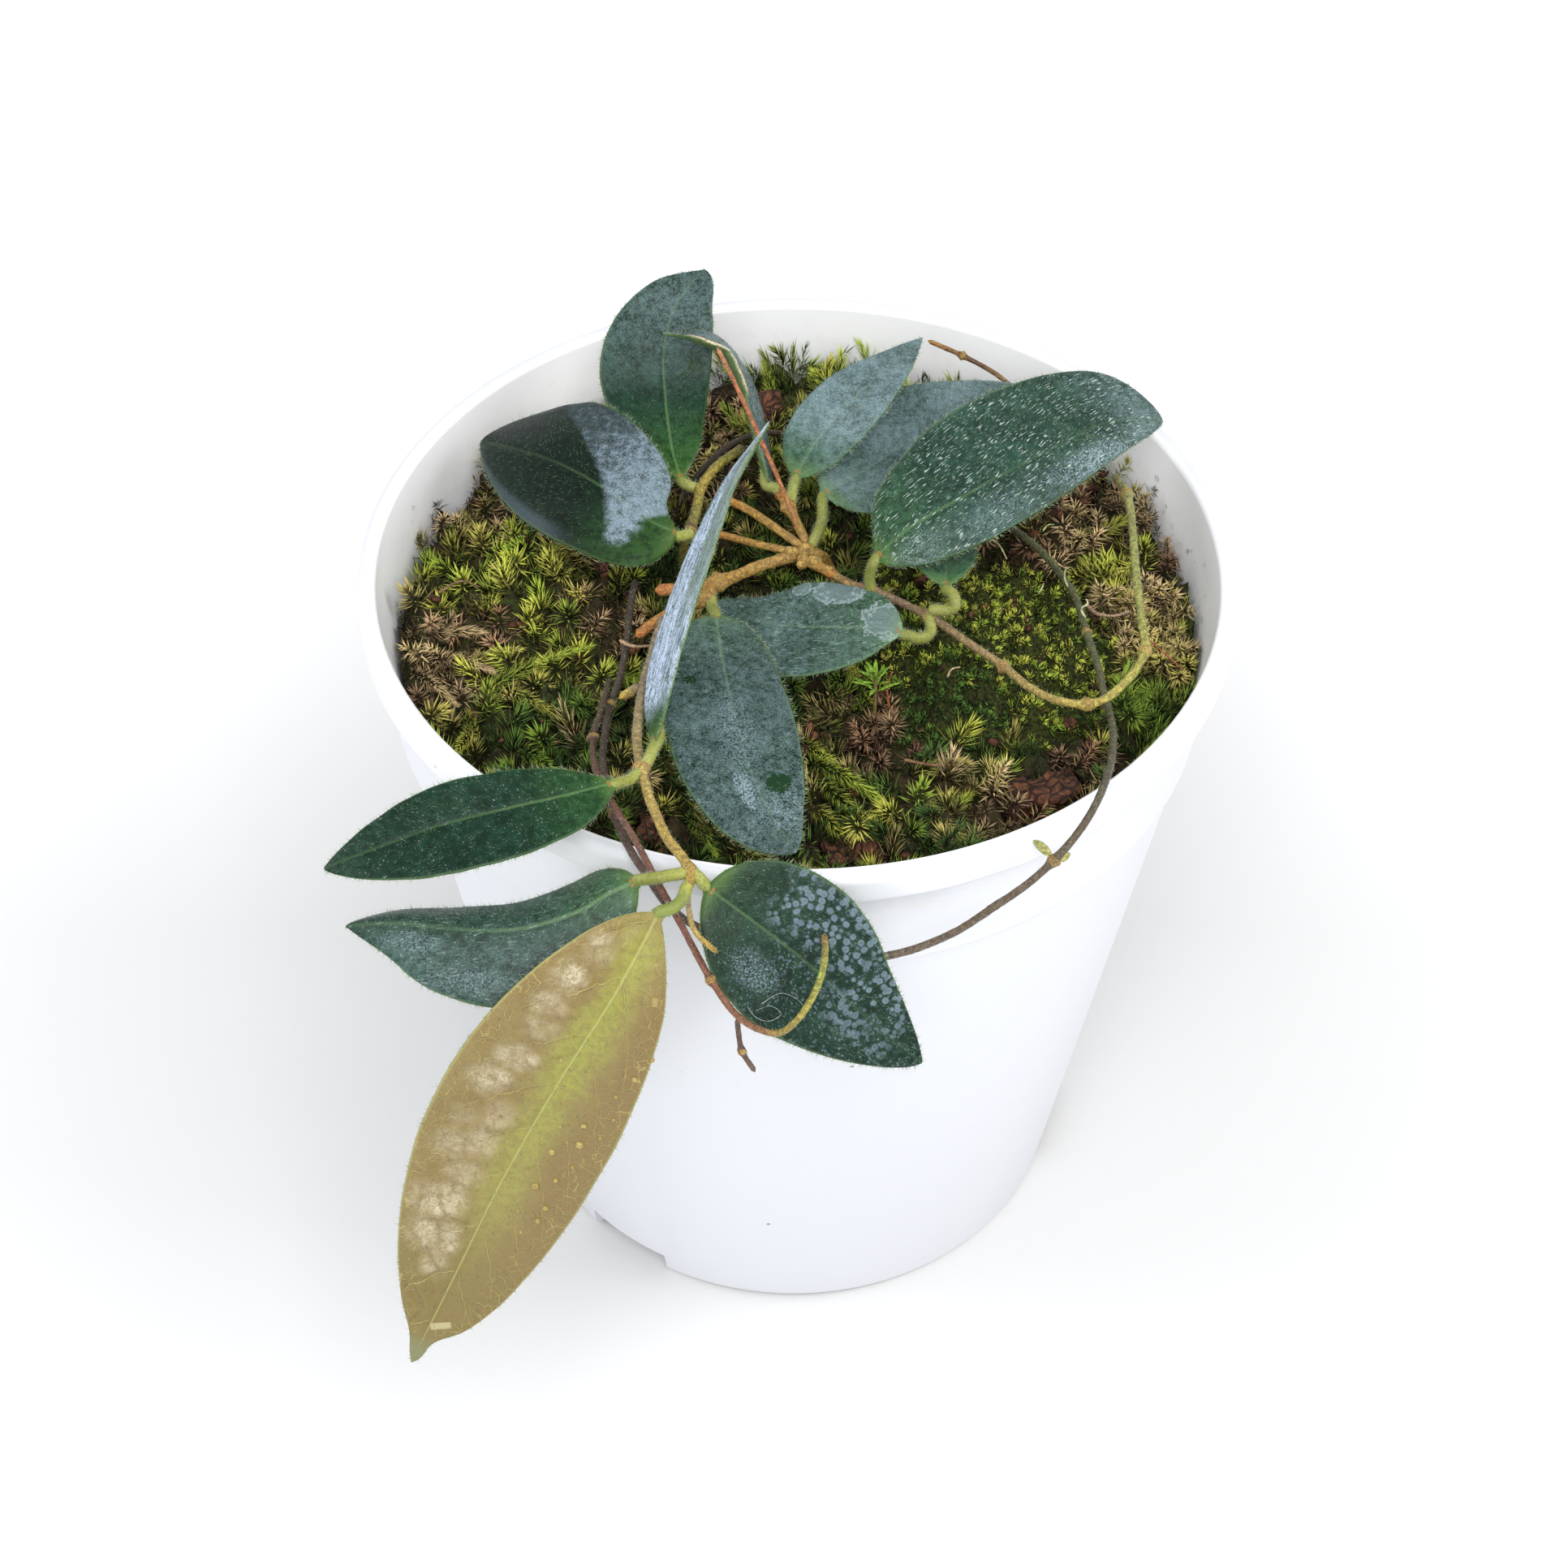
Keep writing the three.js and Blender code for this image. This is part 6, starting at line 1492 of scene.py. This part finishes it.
def pot_material(settings):
    """White semi-gloss moulded plastic with a faintly uneven bump, water marks and a few specks of soil; the outside
    is painted darker as shade.
    """
    shader = Shader("white moulded plastic")
    place = shader.place()
    x, y, height = shader.parts(place)
    broad = shader.clouds(place, 0.03, 3)
    fine = shader.clouds(place, 0.5, 4, 0.6)
    white = settings.white
    # The outside gets a darker colour than the inside, though the plastic is one white: painted shade that offsets
    # the extra light bounced onto it.
    outside = ((x * x + y * y) ** 0.5 - 54.1 - (height - COLLAR_BOTTOM) * 0.16).step(0.5, 1.0)
    inside = shader.mix(broad.step(0.3, 0.7) * 0.5, white, tuple(c * 0.97 for c in white))
    colour = shader.mix(outside, inside, settings.outside)
    soil = shader.cells(place, 0.11).step(0.045, 0.02) * fine.step(0.44, 0.6)
    colour = shader.mix(soil * 0.8, colour, (0.1, 0.09, 0.08))
    stain = height.step(101, 103) * height.step(112, 106) * fine.step(0.5, 0.64) * 0.12
    colour = shader.mix(stain, colour, (0.6, 0.56, 0.45))
    peel = shader.clouds(place, 1.3, 2)
    rough = fine * 0.12 + settings.gloss
    return shader.surface(colour, rough, peel * 0.5 + fine * 0.2, 0.03, Specular_IOR_Level=0.5)


def bark_material(name):
    """Red-brown broken bark with dark cracks."""
    shader = Shader(name)
    place = shader.place()
    fine = shader.clouds(place, 0.9, 5, 0.7, 0.6)
    grain = shader.clouds(place, 3.2, 4, 0.7)
    crack = shader.cells(place, 0.55, "DISTANCE_TO_EDGE").step(0.12, 0.02)
    colour = shader.mix(fine.step(0.32, 0.68), (0.03, 0.012, 0.008), (0.2, 0.075, 0.035))
    colour = shader.layers(
        colour,
        (grain.step(0.55, 0.75) * 0.6, (0.34, 0.16, 0.09)),
        (crack * 0.8, (0.012, 0.007, 0.005)),
    )
    return shader.surface(colour, 0.75, fine + grain * 0.5 - crack * 0.6, 0.5, Specular_IOR_Level=0.3)


def hair_material():
    """Pale hairs, brighter at their tips."""
    shader = Shader("pale leaf hair")
    kept = shader.node("ShaderNodeUVMap", {"uv_map": KEPT_MAP}, {})
    bright, tip, _ = shader.parts(kept)
    foot = shader.mix(bright, (0.03, 0.08, 0.03), (0.26, 0.36, 0.14))
    end = shader.mix(bright, (0.12, 0.2, 0.09), (0.66, 0.7, 0.56))
    colour = shader.mix(tip.step(0.0, 0.8), foot, end)
    return shader.surface(colour, 0.5, Specular_IOR_Level=0.3)


def dew_material():
    """Clear water drops."""
    shader = Shader("clear water drop")
    place = shader.place()
    ripple_height = shader.clouds(place, 0.8, 1)
    return shader.surface((0.97, 0.99, 1.0), 0.03, ripple_height, 0.02, Transmission_Weight=1.0, IOR=1.33)


def bead_material():
    """Golden drops of nectar on the young leaf."""
    shader = Shader("golden bead")
    cloud = shader.clouds(shader.place(), 1.5, 2)
    colour = shader.mix(cloud.step(0.35, 0.65), (0.24, 0.17, 0.035), (0.34, 0.26, 0.07))
    return shader.surface(colour, 0.06, cloud, 0.02, Specular_IOR_Level=0.6)


def on_blade(name, side, down):
    """The point of a blade's upper skin at a place on it, and the way it looks there."""
    grid = made["surfaces"][name]
    away = np.hypot(grid["x"] - side, grid["along"] - down)
    row, column = np.unravel_index(np.argmin(away), away.shape)
    return grid["upper"][row, column], grid["normal"][row, column]


def add_drop(shape, at, out, radius, flatten=0.6):
    """A drop that sits on a surface."""
    points, faces = ball(2)
    out = unit(np.array(out, float))
    side, other = (vectors[0] for vectors in side_vectors(out[None]))
    local = (side * points[:, :1] + other * points[:, 1:2]) * radius + out * points[:, 2:] * radius * flatten
    shape.add(np.array(at, float) + local, [faces])


# Settings

def length_property(label, description, default):
    return bpy.props.FloatProperty(name=label, description=description, default=default, unit="LENGTH")


def share_property(label, description, default, most=1.0):
    return bpy.props.FloatProperty(name=label, description=description, default=default, min=0.0, max=most,
                                   subtype="FACTOR")


def colour_property(label, description, default):
    return bpy.props.FloatVectorProperty(name=label, description=description, default=default, size=3,
                                         subtype="COLOR", min=0.0, max=1.0)


class PotSettings(bpy.types.PropertyGroup):
    white: colour_property("White", "Colour of the moulded plastic", (0.81, 0.815, 0.835))
    # A darker copy of the white for the outside: painted shade.
    outside: colour_property("Outside", "Colour of the shade_darkened outside", (0.645, 0.66, 0.695))
    gloss: share_property("Roughness", "Roughness of the moulded plastic", 0.34)
    sides: bpy.props.IntProperty(name="Sides", description="Flat sides round the pot", default=144, min=48)


class LeafSettings(bpy.types.PropertyGroup):
    deep_green: colour_property("Deep green", "Darkest green of an old leaf", (0.004, 0.0165, 0.009))
    fresh_green: colour_property("Fresh green", "Green at the base of a leaf", (0.03, 0.1, 0.014))
    # Colour of the grey coat on the leaves: their own bloom and the painted sheen.
    bloom_and_sheen: colour_property("Bloom", "Colour of the grey bloom on the leaves", (0.23, 0.31, 0.355))
    bronze: colour_property("Bronze", "Colour of the young leaf", (0.215, 0.158, 0.05))
    hair_radius: length_property("Hair radius", "Radius of a leaf hair at its foot", 0.000026)
    hair_density: share_property("Hair density", "Share of the usual number of hairs", 1.0, 2.0)


class MossSettings(bpy.types.PropertyGroup):
    spacing: share_property("Shoot spacing", "Distance between shoots as a share of the usual one", 1.0, 3.0)
    leaflet: share_property("Leaflet length", "Length of a leaflet as a share of the usual one", 1.0, 3.0)
    crumbs: bpy.props.IntProperty(name="Crumbs", description="Crumbs of bark on the moss", default=190, min=1)


class StageSettings(bpy.types.PropertyGroup):
    floor: colour_property("Floor", "Colour of the floor", (0.61, 0.61, 0.61))
    sky: colour_property("Surroundings", "Colour of the light from all round", (0.95, 0.97, 1.0))
    sky_strength: bpy.props.FloatProperty(name="Surroundings strength", description="Light from all round",
                                          default=0.7, min=0.0)
    lens: bpy.props.FloatProperty(name="Lens", description="Focal length", default=75.0, unit="CAMERA")


# Operators

class MakePot(bpy.types.Operator):
    """Turns the pot and cuts its drain pockets."""
    bl_idname = "waxplant.make_pot"
    bl_label = "Pot"

    def execute(self, context):
        settings = context.scene.waxplant_pot
        profile = softened(pot_profile(), 0.35)
        mesh = turned(profile, settings.sides).mesh("pot_shell")
        piece = make_piece("pot_shell", mesh, pot_material(settings), ("pot",))
        cut_away(piece, pocket_cutters())
        for face in piece.data.polygons:
            face.use_smooth = True
        piece.data.set_sharp_from_angle(angle=math.radians(40))
        return {"FINISHED"}


class MakeMix(bpy.types.Operator):
    """Roughens the growing mix and breaks up the pieces of bark."""
    bl_idname = "waxplant.make_mix"
    bl_label = "Mix and bark"

    def execute(self, context):
        mix = rough_copy("growing_mix", 1, 0.3, 0.4)
        make_piece("loose_mix", mix, floor_material("growing mix with painted shade"), ("growing_mix",))
        bark = bark_material("broken bark")
        for number in range(1, 7):
            node = f"bark_{number}"
            mesh = rough_copy(node, 6, 1.7, 0.33)
            make_piece(f"bark_chip_{number}", mesh, bark, (node,))
        return {"FINISHED"}


class MakeMoss(bpy.types.Operator):
    """Covers each clump with shoots and lays the long feathery ones over them."""
    bl_idname = "waxplant.make_moss"
    bl_label = "Moss"

    def execute(self, context):
        settings = context.scene.waxplant_moss
        ground, leafy = floor_material("moss ground with painted shade"), moss_material("moss leaflets")
        close = floor_material("close moss ground", 0.9)
        trees = []
        for name, kind in MOSS_CLUMPS.items():
            trees.append(tops_of(name))
            skin = close if kind == "cushion" else ground
            make_piece(name + "_ground", rough_copy(name, 1, 0.7, 0.5), skin, (name,))
            grow_moss(name, kind, settings).piece(name + "_shoots", leafy, slot=name)
        fronds = Shape()
        add_fronds(fronds, trees)
        fronds.piece("moss_fronds", leafy, slot="moss_front_feather")
        crumbs = Shape()
        add_crumbs(crumbs, trees, settings.crumbs)
        crumbs.piece("bark_crumbs", bark_material("bark crumbs"), slot="bark")
        return {"FINISHED"}


class MakeStems(bpy.types.Operator):
    """Grows the vines, the stalk, the root and the twigs."""
    bl_idname = "waxplant.make_stems"
    bl_label = "Stems"

    def execute(self, context):
        bark = stem_material("vine bark")
        for name, branches in STEMS.items():
            shape = Shape()
            for number, branch in enumerate(branches):
                add_branch(shape, name, branch, number)
            shape.piece(name + "_grown", bark, (name,), name)
        scales = Shape()
        pale = (0.42, 0.42, 0.14)
        add_scale(scales, (31.9, -55.4, 112.6), (-0.7, 0.5, 0.5), (0, -0.6, 0.8), 3.8, 1.2, pale, -0.9)
        add_scale(scales, (32, -55.6, 112.4), (0.8, 0.3, 0.2), (0, -0.6, 0.8), 2.2, 1.2, pale, 0.5)
        scales.piece("node_scales", bark, slot="loop_vine")
        knobs = Shape()
        for (x, y, z), radius in KNOBS:
            add_thread(knobs, ((x - radius, y, z), (x, y + 0.2, z), (x + radius, y, z)), radius, (0.48, 0.31, 0.08))
        knobs.piece("corky_knobs", bark, slot="rooted_stem")
        threads = Shape()
        for points, radius, tint in THREADS:
            add_thread(threads, points, radius, tint)
        threads.piece("fine_threads", bark, slot="growing_mix")
        return {"FINISHED"}


class MakeLeaves(bpy.types.Operator):
    """Grows the fourteen leaves with their stalks, and the seedling."""
    bl_idname = "waxplant.make_leaves"
    bl_label = "Leaves"

    def execute(self, context):
        settings = context.scene.waxplant_leaf
        for name, leaf in LEAVES.items():
            look = LEAF_LOOKS[name]
            shape = Shape()
            grid = add_blade(shape, name, leaf)
            path, directions, radii = add_petiole(shape, leaf)
            bronze = look.get("bronze", False)
            hair_blade(name, grid, (0.35 if bronze else 1.0) * settings.hair_density)
            hair_tube(name + " stalk", path, directions, radii, 40 * settings.hair_density, (0.25, 0.65))
            skin = (bronze_material if bronze else lambda n, s: leaf_material(n, look, s))(name + " skin", settings)
            shape.piece(name + "_grown", skin, (name,), name)
        threads = Shape()
        for places in LEAF_THREADS:
            spots = (on_blade("leaf_front_right", *place) for place in places)
            add_thread(threads, [point + normal * 0.12 for point, normal in spots], 0.055, (0.3, 0.36, 0.37))
        threads.piece("leaf_threads", stem_material("pale thread"), slot="leaf_front_right")
        seedling = Shape()
        path, directions, _, share = even_path(((10.3, -20.8, 100), (10.4, -19.4, 104), (10.4, -17.8, 108.2)), 0.5)
        growth = np.stack([share * 8, share * 0, share], -1)
        tint = np.repeat([[0.18, 0.14, 0.04]], len(share), axis=0)
        add_tube(seedling, path, directions, np.full(len(share), 0.26), 8, tint=tint, growth=growth)
        for number in range(16):
            turn = number * GOLDEN_ANGLE
            low = number * 0.2
            out = (math.cos(turn) - 0.3, math.sin(turn) * 0.8, 0.6 + low * 0.4)
            add_scale(seedling, (10.4, -18.2 + low * 0.1, 105.6 + low), out, (0, 0, 1), 3.8 - low * 0.5, 0.64,
                      (0.3, 0.56, 0.05), -0.45)
        seedling.piece("seedling_grown", stem_material("seedling skin", 0.45), ("seedling",), "seedling")
        return {"FINISHED"}


class MakeHairs(bpy.types.Operator):
    """Makes all hairs as thin three-sided spikes."""
    bl_idname = "waxplant.make_hairs"
    bl_label = "Hairs"

    def execute(self, context):
        roots, directions, lengths, bright = (np.concatenate(group) for group in zip(*made["hairs"]))
        random = seeded("hair sizes")
        radius = context.scene.waxplant_leaf.hair_radius / MM
        side, other = square_to(directions)
        thick = radius * random.uniform(0.8, 1.3, (len(roots), 1))
        corners = [roots + (side * math.cos(a) + other * math.sin(a)) * thick for a in (0, 2.09, 4.19)]
        tips = roots + directions * lengths[:, None]
        points = np.stack([*corners, tips], 1)
        faces = np.array([(0, 1, 3), (1, 2, 3), (2, 0, 3), (0, 2, 1)])
        numbers = (np.arange(len(roots)) * 4)[:, None, None] + faces[None]
        tone = np.clip(bright + random.normal(0, 0.12, len(roots)), 0.03, 0.95)
        uv = np.zeros((len(roots), 4, 3))
        uv[..., 0] = tone[:, None] + np.array([0, 0.01, 0.02, 0.01])
        uv[..., 1] = np.array([0.02, 0.06, 0.02, 0.97])
        shape = Shape()
        shape.add(points.reshape(-1, 3), [numbers.reshape(-1, 3)], uv=uv.reshape(-1, 3))
        shape.piece("leaf_hairs", hair_material(), slot="leaf_centre")
        return {"FINISHED"}


class MakeDew(bpy.types.Operator):
    """Sets water drops on the inside of the rim and golden beads on the bronze leaf."""
    bl_idname = "waxplant.make_dew"
    bl_label = "Water drops"

    def execute(self, context):
        random = seeded("dew")
        shape = Shape()
        for x, y, z in DEW_ON_WALL:
            turn = math.atan2(y, x)
            for _ in range(3):
                angle = turn + random.normal(0, 0.035)
                height = z + random.normal(0, 1.6)
                radius = float(inner_radius(height))
                at = (radius * math.cos(angle), radius * math.sin(angle), height)
                add_drop(shape, at, (-math.cos(angle), -math.sin(angle), 0), random.uniform(0.2, 0.6), 0.35)
        shape.piece("water_drops", dew_material(), slot="pot")
        beads = Shape()
        for side, down, radius in LEAF_DROPS:
            add_drop(beads, *on_blade("leaf_bronze", side, down), radius * 0.85, 0.7)
        beads.piece("golden_beads", bead_material(), slot="leaf_bronze")
        return {"FINISHED"}


class MakeStage(bpy.types.Operator):
    """Sets the floor, the lights and the camera."""
    bl_idname = "waxplant.make_stage"
    bl_label = "Stage"

    def execute(self, context):
        scene = context.scene
        settings = scene.waxplant_stage
        make_floor(settings)
        make_sky(scene, settings)
        add_light("front light", (0, -0.6, 0.77), (0, 0, 0.1), 0.5, 6.2, (1.0, 0.99, 0.98))
        add_light("right light", (0.66, -0.05, 0.56), (0, 0, 0.1), 0.45, 3.7, (1.0, 0.99, 0.97))
        add_light("left light", (-0.66, -0.05, 0.56), (0, 0, 0.1), 0.45, 2.5, (0.98, 0.99, 1.0))
        add_light("low light", (-0.36, -0.78, 0.1), (-0.03, -0.08, 0.08), 0.14, 0.8, (0.97, 0.98, 1.0))
        add_camera(scene, settings)
        scene.view_settings.view_transform = "Standard"
        return {"FINISHED"}


def make_floor(settings):
    """A wide pale floor under the pot."""
    shape = Shape()
    angle = round_angles(96)
    rings = [np.stack([r * np.cos(angle), r * np.sin(angle), np.full(96, z)], -1)
             for r, z in ((4000, -6), (4000, -0.15))]
    shape.add(np.concatenate([*rings, [[0, 0, -6]], [[0, 0, -0.15]]]), ring_faces(2, 96))
    shader = Shader("pale floor")
    x, y, _ = shader.parts(shader.place())
    base = settings.floor
    away = (x * x + y * y) ** 0.5
    # Darker near the pot and paler far from it: painted light that keeps the far floor white where the lamps are
    # weaker, and a darker floor near the pot that throws less light back onto it.
    colour = shader.mix(away.step(50, 300), base, tuple(min(c * 1.65, 0.95) for c in base))
    mesh = shape.mesh("floor")
    mesh.materials.append(shader.surface(colour, 0.8, Specular_IOR_Level=0.2))
    floor = put("floor", mesh)


def make_sky(scene, settings):
    """Even soft light from all round."""
    world = bpy.data.worlds.new("soft surroundings")
    world.use_nodes = True
    background = world.node_tree.nodes["Background"]
    background.inputs[0].default_value = (*settings.sky, 1.0)
    background.inputs[1].default_value = settings.sky_strength
    scene.world = world


def add_light(name, place, target, size, power, colour):
    """A square soft light that faces a target, in metres and watts."""
    lamp = bpy.data.lights.new(name, "AREA")
    lamp.size = size
    lamp.energy = power
    lamp.color = colour
    light = put(name, lamp)
    toward = Vector(target) - Vector(place)
    light.location = place
    light.rotation_euler = toward.to_track_quat("-Z", "Y").to_euler()


def add_camera(scene, settings):
    """The camera: 476 mm from the plant, looking 45 degrees down."""
    elevation, roll = math.radians(45.1), math.radians(0.4)
    ahead = Vector((0, math.cos(elevation), -math.sin(elevation)))
    up = Vector((0, math.sin(elevation), math.cos(elevation)))
    right = Vector((1, 0, 0))
    leaning_right = right * math.cos(roll) + up * math.sin(roll)
    leaning_up = up * math.cos(roll) - right * math.sin(roll)
    turn = Matrix((leaning_right, leaning_up, -ahead)).transposed()
    lens = bpy.data.cameras.new("camera")
    lens.lens = settings.lens
    lens.sensor_width = 36.0
    lens.clip_start = 0.01
    camera = put("camera", lens)
    place = Vector((-1.7, 0, 69.8)) * MM - ahead * 475.7 * MM
    camera.matrix_world = Matrix.Translation(place) @ turn.to_4x4()
    scene.camera = camera


class WaxPlantPanel(bpy.types.Panel):
    """Lists the steps that build the plant."""
    bl_idname = "VIEW3D_PT_waxplant"
    bl_label = "Wax plant"
    bl_space_type = "VIEW_3D"
    bl_region_type = "UI"
    bl_category = "Wax plant"

    def draw(self, context):
        """Shows the settings of each part above its button."""
        groups = (("waxplant_pot", (MakePot, MakeMix)), ("waxplant_moss", (MakeMoss,)),
                  ("waxplant_leaf", (MakeStems, MakeLeaves, MakeHairs, MakeDew)),
                  ("waxplant_stage", (MakeStage,)))
        for group_name, operators in groups:
            settings = getattr(context.scene, group_name)
            box = self.layout.box()
            for key in settings.__annotations__:
                box.prop(settings, key)
            for operator in operators:
                box.operator(operator.bl_idname)


GROUPS = {"waxplant_pot": PotSettings, "waxplant_leaf": LeafSettings, "waxplant_moss": MossSettings,
          "waxplant_stage": StageSettings}
OPERATORS = (MakePot, MakeMix, MakeMoss, MakeStems, MakeLeaves, MakeHairs, MakeDew, MakeStage)


def register():
    """Makes the settings, the operators and the panel known."""
    for name, group in GROUPS.items():
        bpy.utils.register_class(group)
        setattr(bpy.types.Scene, name, bpy.props.PointerProperty(type=group))
    for operator in (*OPERATORS, WaxPlantPanel):
        bpy.utils.register_class(operator)


def unregister():
    """Takes them away again."""
    for operator in (WaxPlantPanel, *reversed(OPERATORS)):
        bpy.utils.unregister_class(operator)
    for name, group in GROUPS.items():
        delattr(bpy.types.Scene, name)
        bpy.utils.unregister_class(group)


def main():
    """Builds everything in order."""
    register()
    for operator in OPERATORS:
        group, call = operator.bl_idname.split(".")
        getattr(getattr(bpy.ops, group), call)()


if __name__ == "__main__":
    main()
